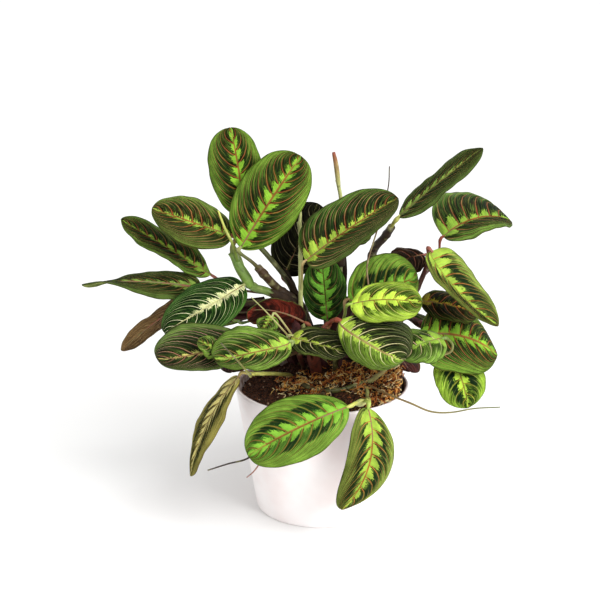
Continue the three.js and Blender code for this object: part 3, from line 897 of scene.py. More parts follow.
def sheath_wrap(bm, route, start, end, radius, colours):
    """A dry papery sheath: a torn strip curled partly round a stem, with thickness."""
    rows, columns = 14, 8
    half_thickness = 0.14
    tone, skin = tone_layer(bm), skin_layer(bm)
    side = TUBE_SIDE.copy()
    frames = []
    for i in range(rows + 1):
        place = min(len(route) - 2, start + (end - start) * i / rows)
        low = int(place)
        along = (route[low + 1] - route[low]).normalized()
        centre = route[low].lerp(route[low + 1], place - low)
        side = (side - along * side.dot(along)).normalized()
        frames.append((centre, side.copy(), along.cross(side), along))
    made = bmesh.ops.create_grid(bm, x_segments=rows, y_segments=columns, size=1)["verts"]
    faces = list({face for vert in made for face in vert.link_faces})
    for vert in made:
        run = (vert.co.x + 1) / 2
        centre, out, over, along = frames[round(run * rows)]
        torn = noise.noise(Vector((vert.co.y * 2.3, start, 1.7)))
        angle = 2.2 * vert.co.y * (1 - 0.35 * run) + start
        flare = noise.noise(Vector((run * 3, vert.co.y * 2, start)))
        gap = radius * (1 + 0.25 * run + 0.35 * run * flare)
        slide = along * (run ** 2 * torn * 9)
        place = Vector((run * 6, vert.co.y * 5, start))
        vert[tone] = mixed(*colours, 0.5 + 0.5 * noise.noise(place))
        vert[skin] = (4 * vert.co.y, 0, 9 * run)
        vert.co = centre + (out * math.cos(angle) + over * math.sin(angle)) * gap + slide
    bm.normal_update()
    normals = {tuple(vert.co): vert.normal.copy() for vert in made}
    grown = bmesh.ops.extrude_face_region(bm, geom=faces)["geom"]
    upper = {item for item in grown if isinstance(item, bmesh.types.BMVert)}
    for vert in [*made, *upper]:
        vert.co += normals[tuple(vert.co)] * (half_thickness if vert in upper else -half_thickness)
    shell = list({face for vert in [*made, *upper] for face in vert.link_faces})
    bmesh.ops.recalc_face_normals(bm, faces=shell)


# Dry sheaths: shoot, tube, share of its length where each starts and ends, how far it stands
# off the tube's middle, and its two tints.
DRY_SHEATHS = (
    ("shoot_sheath", 0, 0.1, 0.34, 6.5, "plum", "dark"),
    ("shoot_sheath", 0, 0.3, 0.5, 4.4, "brown", "dark"),
    ("shoot_sheath", 0, 0.5, 0.64, 3.4, "dark", "brown"),
    ("shoot_sheath", 8, 0.15, 0.85, 5.0, "dark", "plum"),
    ("shoot_sheath", 7, 0.2, 0.75, 3.0, "dark", "brown"),
    ("shoot_crown", 0, 0.2, 0.42, 5.5, "dark", "plum"),
    ("shoot_crown", 0, 0.5, 0.62, 3.5, "brown", "dark"),
    ("shoot_crown", 0, 0.64, 0.76, 3.4, "dark", "brown"),
    ("shoot_crown", 2, 0.1, 0.34, 3.2, "brown", "dark"),
    ("shoot_upright", 0, 0.1, 0.45, 7.0, "dark", "plum"),
    ("shoot_bud", 0, 0.1, 0.42, 8.5, "plum", "dark"),
    ("shoot_bud", 0, 0.4, 0.62, 5.5, "dark", "brown"),
    ("shoot_bud", 0, 0.56, 0.74, 3.4, "brown", "dark"),
    ("shoot_front", 0, 0.2, 0.55, 4.4, "rust", "dark"),
    ("shoot_middle", 0, 0.35, 0.85, 5.0, "dark", "plum"),
    ("shoot_right", 0, 0.12, 0.4, 8.0, "dark", "plum"),
    ("shoot_right", 0, 0.4, 0.56, 4.0, "brown", "dark"),
    ("shoot_far_right", 0, 0.3, 0.64, 4.2, "plum", "dark"),
    ("shoot_low_left", 0, 0.4, 0.95, 5.5, "plum", "dark"),
    ("shoot_back_left", 0, 0.35, 0.98, 9.5, "dark", "plum"),
    ("shoot_back_right", 0, 0.3, 0.9, 6.0, "dark", "plum"),
    ("shoot_low_right", 0, 0.3, 0.7, 3.6, "brown", "dark"),
)


def build_dry_sheaths(settings):
    """Brown papery sheaths that cling to the older stems."""
    bm = bmesh.new()
    for name, number, start, end, reach, first_tint, last_tint in DRY_SHEATHS:
        route = tube_route(name, number, settings)
        last = len(route) - 1
        tints = STALK_TINTS[first_tint], STALK_TINTS[last_tint]
        sheath_wrap(bm, route, start * last, end * last, reach, tints)
    finish_piece("dry_sheaths", bm, [tone_material("papery", 0.8, 0.5)], SLOTS["shoot_crown"])


# ---------------------------------------------------------------- leaves


def leaf(name, look, base, turn, size, **form):
    """A blade's row: base point, (heading, pitch, roll) in degrees, (length, width) and form.

    lean is how much wider one half is, blunt rounds the tip, sweep is how far the side veins of
    each half run forward, and shift moves the midrib off the middle of the outline.
    """
    usual = {
        "arch": 30, "fold": (8, 8), "curl": 14, "bow": 0, "twist": 0, "broad": 1, "wave": 1.2,
        "phase": 0, "lean": 0, "blunt": 0.1, "sweep": (0.5, 0.5), "shift": 0, "under": "wine",
    }
    return name, {"look": look, "base": base, "turn": turn, "size": size, **usual, **form}


LEAVES = dict([
    leaf("crown_1", "ruby", (-57, 12, 219), (-161, 82, -116), (69, 41), arch=24, fold=(1, 2),
         curl=12, bow=-2, broad=1.15, lean=0.15, blunt=0.16, sweep=(0.55, 0.55)),
    leaf("crown_2", "ruby", (-59, -10, 203), (3, 57, 72), (80, 51), arch=23, fold=(-1, 3), curl=12,
         broad=1.05, lean=0.1, blunt=0.2, sweep=(0.5, 0.62)),
    leaf("crown_3", "forest", (-12, -20, 196), (2, 35, 46), (80, 44), arch=26, fold=(16, 16),
         curl=12, bow=-1, broad=0.7, lean=0.2, blunt=0.12, sweep=(0.42, 0.95)),
    leaf("crown_4", "plum", (-28, 28, 172), (13, 64, 65), (59, 42), arch=20, curl=12,
         sweep=(0.6, 0.6)),
    leaf("crown_5", "ruby", (-19, 17, 226), (148, 33, 65), (34, 36), arch=26, fold=(6, 6)),
    leaf("crown_6", "forest", (18, 38, 188), (71, 20, -17), (39, 36), fold=(6, 6)),
    leaf("left_1", "gold", (-66, 8, 207), (-174, 21, -48), (62, 40), arch=23, fold=(17, 13), bow=2,
         broad=0.95, sweep=(0.95, 0.5)),
    leaf("left_2", "thicket", (-83, 22, 174), (-178, 33, -41), (78, 28), arch=26, fold=(24, 4),
         bow=1, broad=0.95, wave=2.6, phase=0.5, lean=0.05, sweep=(0.6, 0.4), shift=0.15),
    leaf("left_3", "striped", (-90, 11, 166), (-166, 6, -15), (88, 30), arch=20, twist=90,
         broad=0.8, blunt=0, sweep=(0.95, 0.95), under="olive"),
    leaf("left_4", "umber", (-97, 15, 157), (-166, -34, 56), (65, 24), arch=20, fold=(8, 4),
         curl=10, broad=0.85, sweep=(0.95, 0.95), under="umber"),
    leaf("left_5", "cream", (-58, 6, 170), (-143, -18, -32), (74, 39), fold=(6, 19), bow=3,
         broad=0.95, lean=-0.05, sweep=(0.5, 0.6)),
    leaf("left_6", "ruby", (-70, 34, 198), (124, -5, -1), (54, 36), fold=(6, 6)),
    leaf("low_left_1", "smoky", (-57, -41, 144), (-155, -3, -26), (67, 48), arch=34, curl=16,
         blunt=0.18, sweep=(0.85, 0.7), shift=0.42),
    leaf("low_left_2", "clover", (-71, -69, 142), (-170, 34, -37), (20, 18), arch=26, fold=(6, 6),
         curl=10),
    leaf("low_left_3", "clover", (-24, -58, 148), (-153, -3, -25), (59, 44), arch=34, blunt=0.18,
         sweep=(0.75, 0.6), shift=0.34),
    leaf("low_left_4", "clover", (-36, -32, 158), (-128, -36, -13), (14, 17), arch=26, fold=(6, 6),
         curl=10),
    leaf("low_left_5", "smoky", (-13, -8, 146), (-161, 17, 52), (47, 36), arch=50, fold=(6, 6),
         under="ruddy"),
    leaf("front_1", "gilded", (-60, -48, 118), (-164, -63, -7), (81, 31), arch=12, fold=(4, 9),
         curl=12, bow=-7, lean=-0.1, blunt=0, sweep=(0.95, 0.95)),
    leaf("front_2", "meadow", (17, -74, 105), (-157, -18, -42), (80, 49), arch=32, fold=(-1, 1),
         curl=12, broad=1.1, lean=-0.1, blunt=0.18, sweep=(0.7, 0.5)),
    leaf("front_3", "window", (31, -76, 105), (-141, -72, -52), (75, 40), arch=24, fold=(-23, 23),
         bow=10, broad=0.95, lean=0.15, sweep=(0.4, 0.8)),
    leaf("middle_6", "fern", (4, 9, 142), (-116, 78, -151), (52, 33), arch=24, fold=(6, 6),
         curl=12),
    leaf("middle_1", "mulberry", (76, 31, 186), (-153, -10, -26), (29, 28), arch=34),
    leaf("middle_2", "meadow", (19, -10, 164), (-5, 23, 52), (54, 50), arch=34, blunt=0.16,
         shift=-0.2),
    leaf("middle_3", "lime", (20, -38, 169), (-14, 5, 35), (52, 38), arch=40, blunt=0.16,
         sweep=(0.6, 0.5)),
    leaf("middle_4", "ivory", (12, -48, 160), (-31, -20, 25), (57, 62), arch=45, fold=(7, -15),
         curl=30, bow=-2, broad=1.05, lean=0.3, blunt=0.18, sweep=(0.8, 0.6), shift=-0.25),
    leaf("middle_5", "inky", (-22, -40, 146), (-24, -7, 19), (45, 34), blunt=0.14, sweep=(0.8, 0.6),
         shift=-0.3),
    leaf("right_1", "striped", (55, -6, 225), (-10, 42, 27), (78, 31), arch=14, fold=(10, 8),
         curl=12, bow=-2, blunt=0, sweep=(0.95, 0.95)),
    leaf("right_2", "thicket", (90, 24, 202), (20, 7, 18), (60, 66), arch=76, fold=(11, 20),
         broad=0.8, lean=0.35, blunt=0, sweep=(0.42, 0.9)),
    leaf("right_3", "window", (78, -13, 201), (-31, -41, 30), (72, 40), arch=15, fold=(-10, 35),
         bow=-4, broad=0.6, lean=0.25, blunt=0, sweep=(0.36, 0.9), shift=-0.2),
    leaf("right_4", "dusky", (73, 11, 156), (-5, -12, 24), (44, 34), curl=12),
    leaf("low_right_1", "ruby", (71, -18, 139), (13, -18, 53), (64, 65), arch=38, fold=(-14, 2),
         bow=5, broad=0.85, lean=0.15, blunt=0.18, sweep=(0.5, 0.85)),
    leaf("low_right_2", "young", (94, -5, 124), (-55, -60, 15), (46, 40), arch=40, fold=(7, 4),
         curl=12),
    leaf("low_right_3", "lagoon", (85, -43, 145), (-151, -9, -25), (38, 36), arch=34),
    leaf("back_1", "ruby", (-13, 46, 132), (119, -24, -32), (69, 44), arch=36, fold=(6, 6)),
    leaf("back_2", "gold", (18, 38, 144), (70, -26, -5), (79, 46), arch=36, fold=(6, 6)),
    leaf("back_3", "forest", (58, 30, 142), (58, -29, 4), (63, 42), arch=34, fold=(6, 6)),
    leaf("back_4", "ruby", (-62, 26, 135), (128, -21, -6), (58, 42), arch=34, fold=(6, 6)),
    leaf("back_5", "fern", (3, 50, 125), (88, -37, -5), (74, 42), arch=40, fold=(6, 6)),
    leaf("back_6", "meadow", (39, 46, 110), (54, -34, -1), (70, 40), arch=40, fold=(6, 6)),
    leaf("back_7", "gold", (-46, 44, 111), (122, -38, 2), (61, 38), arch=40, fold=(6, 6)),
    leaf("back_8", "ruby", (37, 26, 176), (78, -30, -3), (64, 40), fold=(6, 6)),
    leaf("back_9", "forest", (0, 44, 177), (108, 9, 8), (52, 38), arch=32, fold=(6, 6)),
])

BLADE_END_HALF_WIDTH = 0.7
VEIN_SPACING = 8.2
SIDE_SHIFT = 0.38
EDGE_TATTER = 0.035
WAVES_ALONG = 1.6
OTHER_HALF_LAG = 2.1


def blade_axes(row):
    """Directions of a blade: along its chord, up from its face, to its side, and at its start."""
    heading, pitch, roll = (math.radians(angle) for angle in row["turn"])
    along = Vector((
        math.cos(pitch) * math.cos(heading), math.cos(pitch) * math.sin(heading), math.sin(pitch),
    ))
    up = Vector((
        -math.sin(pitch) * math.cos(heading), -math.sin(pitch) * math.sin(heading), math.cos(pitch),
    ))
    up = Matrix.Rotation(roll, 3, along) @ up
    bend = math.radians(row["arch"]) / 2
    start = along * math.cos(bend) + up * math.sin(bend)
    return {"along": along, "up": up, "side": up.cross(along), "start": start}


def half_width(row, u):
    v = u ** row["broad"]
    outline = (4 * v * (1 - v)) ** (0.5 + 0.12 * v ** 3 - row["blunt"] * v ** 2)
    return max(row["size"][1] / 2 * outline, BLADE_END_HALF_WIDTH)


def blade_point(row, axes, u, across):
    """A point of the blade's middle surface: u runs along it, across from -1 to 1."""
    along, up, side = axes["along"], axes["up"], axes["side"]
    length = row["size"][0]
    arch = math.radians(row["arch"])
    slope = arch * (0.5 - u)
    forward = length * (math.sin(arch / 2) - math.sin(slope)) / arch
    rise = length * (math.cos(slope) - math.cos(arch / 2)) / arch
    normal = up * math.cos(slope) - along * math.sin(slope)
    turn = math.radians(row["twist"]) * (u - 0.5)
    out = side * math.cos(turn) + normal * math.sin(turn)
    lift = normal * math.cos(turn) - side * math.sin(turn)
    t = abs(across)
    seed = row["size"][0] + row["base"][0]
    tatter = noise.noise(Vector((u * 6, 2 * across, seed)))
    half = half_width(row, u) * (1 + EDGE_TATTER * t ** 3 * tatter)
    wider = 1 + row["lean"] * (1 if across >= 0 else -1)
    reach = half * (across * wider + row["shift"] * (1 - across ** 2))
    raised = math.radians(row["fold"][0 if across >= 0 else 1]) - math.radians(row["curl"]) * t
    swing = math.tau * (WAVES_ALONG * u + row["phase"]) + (0 if across >= 0 else OTHER_HALF_LAG)
    loose = noise.noise(Vector((u * 9, across, seed)))
    ripple = row["wave"] * t ** 2 * (math.sin(swing) + 0.9 * loose)
    middle = Vector(row["base"]) + along * forward + up * rise + side * (row["bow"] * 4 * u * (1 - u))
    return middle + out * (reach * math.cos(raised)) + lift * (half * wider * t * math.sin(raised) + ripple)


def vein_phase(row, u, across, seed):
    """Counts side veins: a whole number on each, with a slight unevenness from leaf to leaf."""
    count = max(5, round(row["size"][0] / VEIN_SPACING))
    t = abs(across)
    forward = row["sweep"][0 if across >= 0 else 1]
    sweep = forward * (0.4 * t + 0.6 * t ** 3) * (1 - (1 - u) ** 2)
    uneven = 0.2 * noise.noise(Vector((u * 3.5, across * 0.8, seed)))
    return count * (u - sweep) + uneven + (SIDE_SHIFT if across > 0 else 0)


def ease(value, start, end):
    share = min(1.0, max(0.0, (value - start) / (end - start)))
    return share * share * (3 - 2 * share)


def quilting(phase, u, t):
    """Bulge between two side veins, with a groove at each vein and at the midrib."""
    window = ease(t, 0.02, 0.22) * (1 - ease(t, 0.8, 1.0)) * ease(u, 0.0, 0.12) * (1 - ease(u, 0.86, 1.0))
    return abs(math.sin(math.pi * phase)) ** 0.75 * window


def blade_sheet(bm, row, rows, columns, seed):
    """A gridded sheet on the blade's curved form. Returns what each vertex stands for."""
    axes = blade_axes(row)
    phase_layer = bm.verts.layers.float.new("vein")
    seed_layer = bm.verts.layers.float.new("seed")
    edge_layer = bm.verts.layers.float.new("edge")
    leaf_map = bm.loops.layers.uv.new("leaf")
    bmesh.ops.create_grid(bm, x_segments=rows, y_segments=columns, size=1)
    marks = {}
    for vert in bm.verts:
        even = (vert.co.x + 1) / 2
        u = 0.4 * even + 0.3 * (1 - math.cos(math.pi * even))
        across = math.copysign(abs(vert.co.y) ** 1.25, vert.co.y)
        marks[vert] = (u, across)
    for face in bm.faces:
        for loop in face.loops:
            u, across = marks[loop.vert]
            loop[leaf_map].uv = (u, 0.5 + 0.5 * across)
    for vert, (u, across) in marks.items():
        vert.co = blade_point(row, axes, u, across)
        vert[phase_layer] = vein_phase(row, u, across, seed)
        vert[seed_layer] = seed
        vert[edge_layer] = abs(across)
    bm.normal_update()
    return {
        tuple(vert.co): (vert.normal.copy(), vert[phase_layer], u, abs(across))
        for vert, (u, across) in marks.items()
    }


def build_blade(name, row, settings, materials):
    """One blade: a sheet set on its curved form, then thickened, quilted and ribbed below."""
    seed = sum(ord(letter) * (i + 3) for i, letter in enumerate(name)) % 97
    rows = settings.rows // 1
    columns = 2 * (settings.columns // 2)
    bm = bmesh.new()
    marks = blade_sheet(bm, row, rows, columns, seed)
    grown = bmesh.ops.extrude_face_region(bm, geom=bm.faces[:])["geom"]
    upper = {item for item in grown if isinstance(item, bmesh.types.BMVert)}
    for vert in bm.verts:
        normal, phase, u, t = marks[tuple(vert.co)]
        relief = settings.quilting * quilting(phase, u, t)
        thickness = settings.thickness * (1 - 0.4 * ease(t, 0.5, 1.0))
        vert.co += normal * (relief + (thickness / 2 if vert in upper else -thickness / 2))
    bmesh.ops.recalc_face_normals(bm, faces=bm.faces)
    for face in bm.faces:
        face.material_index = 0 if any(vert in upper for vert in face.verts) else 1
    add_rib(bm, row, blade_axes(row), settings)
    finish_piece(f"{name}_blade", bm, materials, SLOTS[f"leaf_{name}"], f"leaf_{name}")


def add_rib(bm, row, axes, settings):
    """The midrib stands out below the blade and fades towards the tip."""
    steps = 30
    route, radii = [], []
    for i in range(steps + 1):
        u = 0.01 + 0.9 * i / steps
        ahead = blade_point(row, axes, u + 0.01, 0) - blade_point(row, axes, u, 0)
        out = blade_point(row, axes, u, 0.02) - blade_point(row, axes, u, -0.02)
        below = ahead.cross(out).normalized()
        if below.dot(axes["up"]) > 0 and abs(row["twist"]) < 1:
            below = -below
        route.append(blade_point(row, axes, u, 0) + below * settings.thickness * 0.45)
        radii.append(0.95 - 0.7 * i / steps)
    for face in Tube(bm, sides=8).add(route, radii, [STALK_TINTS["rust"]] * (steps + 1)):
        face.material_index = 2


# Looks of the upper side. Each row has its colours in the order of LOOK_COLOURS, its amounts in the
# order of LOOK_AMOUNTS, and where the margin's colour starts and ends. reach is how far the light
# centre spreads and base how much further at the foot of the blade, tip how much of it is left at
# the tip; browning is how brown the ground is beside a vein and block how strongly near-black
# blocks show between the veins. A last pair is painted light and shade over one half of the
# blade: a colour that makes that half lighter, darker or greyer, as light and sheen fall on it,
# and how strongly: above zero for the half on the side direction, below zero for the other.
LOOK_COLOURS = ("patch", "brown", "mid", "margin", "centre", "vein", "vein_end", "midrib")
LOOK_AMOUNTS = ("reach", "base", "tip", "browning", "block")


def blade_look(name, colours, amounts, margin_at, half=None):
    """A row of the looks: its name, and a value for each of the leaf pattern's inputs."""
    row = dict(zip(LOOK_COLOURS, colours.split()))
    row.update(zip(LOOK_AMOUNTS, amounts))
    row["margin_start"], row["margin_end"] = margin_at
    row["half"], row["half_amount"] = half or (row["mid"], 0.0)
    return name, row


LOOKS = dict([
    blade_look("ruby", "#0d2008 #421a0c #365c1c #80ac3b #8fc637 #ab522e #c49058 #9c5a30",
               (0.22, 0.35, 0.8, 0.85, 0.5), (0.5, 0.84)),
    blade_look("gold", "#131c06 #441c0c #41601f #84a544 #a8cc48 #b15c30 #cfa06c #a8582e",
               (0.15, 0.2, 0.5, 0.85, 0.5), (0.6, 0.92), ("#3c4220", 0.6)),
    blade_look("forest", "#0a1806 #421c0e #2d521a #6a903a #adc846 #9f492c #cba274 #96562c",
               (0.16, 0.5, 0.3, 0.85, 0.5), (0.7, 0.97), ("#46502a", -0.7)),
    blade_look("cream", "#081a06 #15120a #275018 #5f8e3a #fffcbd #f8f6c4 #c0cf8c #e8e2a0",
               (0.2, 0.2, -0.5, 0.15, 0.0), (0.76, 0.98)),
    blade_look("smoky", "#0b1506 #3a1c10 #2f4a1b #70903f #e3db76 #cd8c74 #dab09a #a88050",
               (0.1, 0.1, 0.3, 0.8, 0.35), (0.6, 0.92)),
    blade_look("lime", "#27400a #3a2c0c #70932b #b3d448 #ccec52 #af8a37 #ccd07c #98722c",
               (0.4, 1.35, 0.3, 0.6, 0.35), (0.5, 0.8)),
    blade_look("clover", "#112508 #38220e #496a22 #84aa40 #add050 #af8049 #c4bc84 #986030",
               (0.24, 0.7, 0.5, 0.75, 0.4), (0.45, 0.78)),
    blade_look("young", "#182e08 #34280a #6a8f29 #a1c940 #b9db48 #9f8a30 #b8bc64 #8c7834",
               (0.26, 0.6, 0.3, 0.3, 0.95), (0.55, 0.8)),
    blade_look("meadow", "#3f6a22 #4a2a0c #59892d #87b140 #7fba3a #9b5e33 #a48248 #945a30",
               (0.24, 0.5, 1.0, 0.6, 0.95), (0.4, 0.68)),
    blade_look("window", "#273711 #38200c #657a2d #9ab34d #a2c444 #b46030 #c08c52 #ac5c2e",
               (0.3, 0.6, 0.5, 0.55, 0.9), (0.66, 0.82), ("#58642a", -0.7)),
    blade_look("striped", "#151e06 #3c2210 #3a5a1e #6e8c40 #93b14e #9f7541 #b09a62 #a0984e",
               (0.15, 0.5, 0.4, 0.85, 0.3), (0.5, 0.95)),
    blade_look("gilded", "#2c380f #4a2c0e #7c8234 #c6bc60 #fbee9c #af8447 #d0b880 #4c3414",
               (0.3, 0.6, 0.6, 0.7, 0.85), (0.34, 0.78)),
    blade_look("umber", "#34250d #301808 #836e46 #b3a375 #d2c287 #d5a364 #d0b080 #cca460",
               (0.08, 0.2, 0.4, 0.9, 0.0), (0.45, 0.95)),
    blade_look("plum", "#050402 #180a06 #181a0d #35371c #44441c #867d5c #62624a #382818",
               (0.04, 0.1, 0.3, 0.5, 0.0), (0.7, 0.98)),
    blade_look("fern", "#081a06 #2c1c0a #294e18 #54892c #76b33b #694322 #7c7448 #4a3016",
               (0.4, 0.1, 1.3, 0.5, 0.5), (0.66, 0.95)),
    blade_look("ivory", "#0a1305 #2a1a0a #35441a #6e843b #b9d74c #ece1a7 #b0b280 #a88e58",
               (0.14, 0.8, 0.2, 0.5, 0.0), (0.74, 0.98), ("#84aa36", -0.9)),
    blade_look("inky", "#060c03 #221206 #2b3516 #63732e #adc244 #d9cd96 #a2a270 #847c46",
               (0.12, 0.9, 0.2, 0.5, 0.0), (0.74, 0.97)),
    blade_look("dusky", "#060e03 #381808 #26370f #516323 #b9a837 #a3502e #a47e52 #985228",
               (0.1, 0.8, 0.2, 0.85, 0.0), (0.7, 0.97)),
    blade_look("thicket", "#0c1a06 #3c180c #3b5d1e #779d40 #9ac242 #a35237 #b08454 #984a28",
               (0.16, 0.5, 0.7, 0.85, 0.5), (0.6, 0.9)),
    blade_look("lagoon", "#0c1606 #22180c #354c1c #82a842 #a0c648 #d9b696 #a6b070 #86a446",
               (0.26, 1.4, 0.3, 0.4, 0.3), (0.5, 0.8), ("#74963a", 0.5)),
    blade_look("mulberry", "#0c0604 #2e120a #241811 #42301c #443322 #9b604b #80604a #4a2a1a",
               (0.04, 0.1, 0.3, 0.9, 0.0), (0.7, 0.98)),
])


# Streaks along the side veins: how closely they lie across the veins, how fast they change along
# them, and a shift of the draw.
STREAKS = {
    "broad": (3.2, 1.3, 0.0), "fine": (9.0, 2.4, 0.0), "hair": (24.0, 3.0, 0.0),
    "fleck": (15.0, 5.0, 3.7), "thread": (34.0, 3.5, 9.1), "teeth": (9.0, 10.0, 0.0),
}
VEINS_BEFORE = 64.0
BLOCK_COLOUR = shade("#10260f")
THREAD_COLOUR = shade("#0a1206")


def streaks(wires, phase, closeness, t, run, seed):
    """Noise drawn out along the side veins: closeness across them, run along them."""
    place = wires.vector(wires.times(phase, closeness), wires.times(t, run), seed)
    return wires.noise(place, 1.0, 2.0, 0.6)


def vein_gap(wires, phase):
    """Share of the way from one side vein to the next, and the distance to the nearer one."""
    turn = wires.maths("FRACT", phase)
    off_middle = wires.maths("ABSOLUTE", wires.minus(turn, 0.5))
    return turn, wires.minus(0.5, off_middle)


class BladeSpot:
    """What the pattern reads at a spot of a blade, from its leaf map, vein count and seed."""

    def __init__(self, wires):
        split = wires.tree.nodes.new("ShaderNodeSeparateXYZ")
        leaf_map = wires.node("ShaderNodeUVMap", {}, "UV", uv_map="leaf")
        wires.tree.links.new(leaf_map, split.inputs[0])
        self.along = split.outputs[0]
        self.across = wires.scaled(split.outputs[1], 2.0, -1.0)
        self.t = wires.maths("ABSOLUTE", self.across)
        seed = wires.attribute("seed")
        self.place = wires.vector(wires.times(self.along, 6.0), wires.times(self.across, 1.6), seed)
        warp = wires.noise(self.place, 2.0, 2.0)
        phase = wires.plus(wires.attribute("vein"), wires.scaled(warp, 0.14, -0.07))
        phase = wires.plus(phase, VEINS_BEFORE)
        self.turn, self.gap = vein_gap(wires, phase)
        band = wires.vector(wires.maths("FLOOR", phase), wires.maths("SIGN", self.across), seed)
        self.chance = wires.node("ShaderNodeTexWhiteNoise", {"Vector": band}, "Value")
        for name, (closeness, run, shift) in STREAKS.items():
            drawn = wires.plus(seed, shift) if shift else seed
            setattr(self, name, streaks(wires, phase, closeness, self.t, run, drawn))

    def uneven(self, wires, by_streak, by_chance):
        """Distance from the midrib, made uneven by fine streaks and from one vein to the next."""
        uneven = wires.plus(self.t, wires.scaled(self.fine, by_streak, -by_streak / 2))
        return wires.plus(uneven, wires.scaled(self.chance, by_chance, -by_chance / 2))


def paint_ground(wires, spot, given):
    """Dark patches between the veins, then the middle green, then the streaked margin."""
    ragged = spot.uneven(wires, 0.5, 0.16)
    width = wires.minus(given["margin_end"], given["margin_start"])
    lighter = wires.plus(given["margin_start"], wires.times(width, 0.4))
    inner = wires.ease(ragged, wires.minus(given["margin_start"], 0.12), lighter)
    outer = wires.plus(ragged, wires.scaled(spot.broad, 0.6, -0.3))
    outer = wires.ease(outer, lighter, given["margin_end"])
    tone = wires.blend(inner, given["patch"], given["mid"])
    tone = wires.blend(wires.ease(spot.broad, 0.48, 0.7, 0.0, 0.45), tone, given["mid"])
    tone = wires.blend(outer, tone, given["margin"])
    near = wires.times(
        wires.ease(spot.gap, 0.3, 0.08), wires.ease(spot.fine, 0.3, 0.52), given["browning"],
        wires.ease(outer, 0.9, 0.1, 0.15, 0.95),
    )
    tone = wires.blend(near, tone, given["brown"])
    # Painted light and shade: one half of the blade is tinted lighter, darker or greyer, as light and sheen
    # fall on it.
    half = wires.times(wires.ease(spot.across, -0.02, 0.02, -1.0, 1.0), given["half_amount"])
    half = wires.times(wires.maths("MAXIMUM", half, 0.0), wires.ease(spot.fine, 0.3, 0.6, 0.35, 1.0))
    tone = wires.blend(half, tone, given["half"])
    earth = wires.times(
        wires.ease(spot.fleck, 0.5, 0.6), given["browning"], wires.ease(ragged, 0.85, 0.5, 0.2, 0.7),
    )
    tone = wires.blend(earth, tone, given["brown"])
    tone = wires.blend(wires.ease(spot.fine, 0.52, 0.68, 0.0, 0.6), tone, given["margin"])
    tone = wires.blend(wires.ease(spot.fine, 0.47, 0.34, 0.0, 0.85), tone, given["patch"])
    tone = wires.blend(wires.ease(spot.hair, 0.54, 0.64, 0.0, 0.42), tone, given["margin"])
    tone = wires.blend(wires.ease(spot.hair, 0.46, 0.36, 0.0, 0.6), tone, given["patch"])
    return wires.blend(wires.ease(spot.thread, 0.48, 0.36, 0.0, 0.6), tone, THREAD_COLOUR)


def paint_blocks(wires, spot, given, tone):
    """Near-black blocks between the veins, halfway to the margin, left out here and there."""
    even = spot.uneven(wires, 0.26, 0.12)
    block = wires.times(
        wires.ease(spot.gap, 0.1, 0.15), wires.ease(spot.chance, 0.16, 0.26),
        wires.ease(even, 0.24, 0.28), wires.ease(even, 0.6, 0.55),
        wires.ease(spot.along, 0.12, 0.24), wires.ease(spot.along, 0.94, 0.84), given["block"],
    )
    return wires.blend(block, tone, BLOCK_COLOUR)


def paint_centre(wires, spot, given, tone):
    """The light centre: toothed lobes on each side of the midrib, each with a notch at its vein."""
    lobe = wires.times(
        wires.ease(spot.turn, 0.0, 0.62), wires.ease(spot.turn, 1.0, 0.78),
        wires.ease(spot.chance, 0.0, 1.0, 0.55, 1.35),
    )
    loss = wires.minus(given["tip"], 1.0)
    fade = wires.scaled(wires.ease(spot.along, 0.4, 0.95), loss, 1.0)
    foot = wires.times(
        wires.ease(spot.along, 0.3, 0.0), given["base"], wires.scaled(lobe, 0.6, 0.4),
    )
    spread = wires.plus(wires.times(given["reach"], wires.scaled(lobe, 0.85, 0.22), fade), foot)
    edge = wires.minus(wires.scaled(spot.teeth, 0.5, spread), spot.t)
    inside = wires.times(
        wires.ease(wires.minus(edge, 0.25), -0.005, 0.01),
        wires.ease(wires.minus(spread, spot.t), -0.09, -0.05),
    )
    light = wires.blend(wires.ease(spot.fine, 0.4, 0.62, 0.5, 0.0), given["centre"], given["margin"])
    light = wires.blend(wires.ease(spot.hair, 0.46, 0.34, 0.0, 0.35), light, given["mid"])
    light = wires.blend(wires.ease(spot.t, 0.07, 0.0, 0.0, 0.35), light, given["vein_end"])
    return wires.blend(inside, tone, light)


def paint_veins(wires, spot, given, tone):
    """Side veins that thin and pale outwards, with a fainter one between each two."""
    width = wires.scaled(spot.t, -0.024, 0.05)
    line = wires.times(
        wires.ease(spot.gap, width, wires.times(width, 0.3)), wires.ease(spot.t, 1.0, 0.7, 0.1, 1.0),
        wires.ease(spot.along, 0.01, 0.05), wires.ease(spot.fine, 0.25, 0.5, 0.7, 1.0),
    )
    vein_tone = wires.blend(wires.ease(spot.t, 0.1, 0.8), given["vein"], given["vein_end"])
    tone = wires.blend(line, tone, vein_tone)
    second = wires.times(
        wires.ease(spot.gap, 0.466, 0.49), wires.ease(spot.t, 0.3, 0.6, 0.0, 0.55),
        wires.ease(spot.t, 1.0, 0.85),
    )
    return wires.blend(second, tone, given["vein_end"])


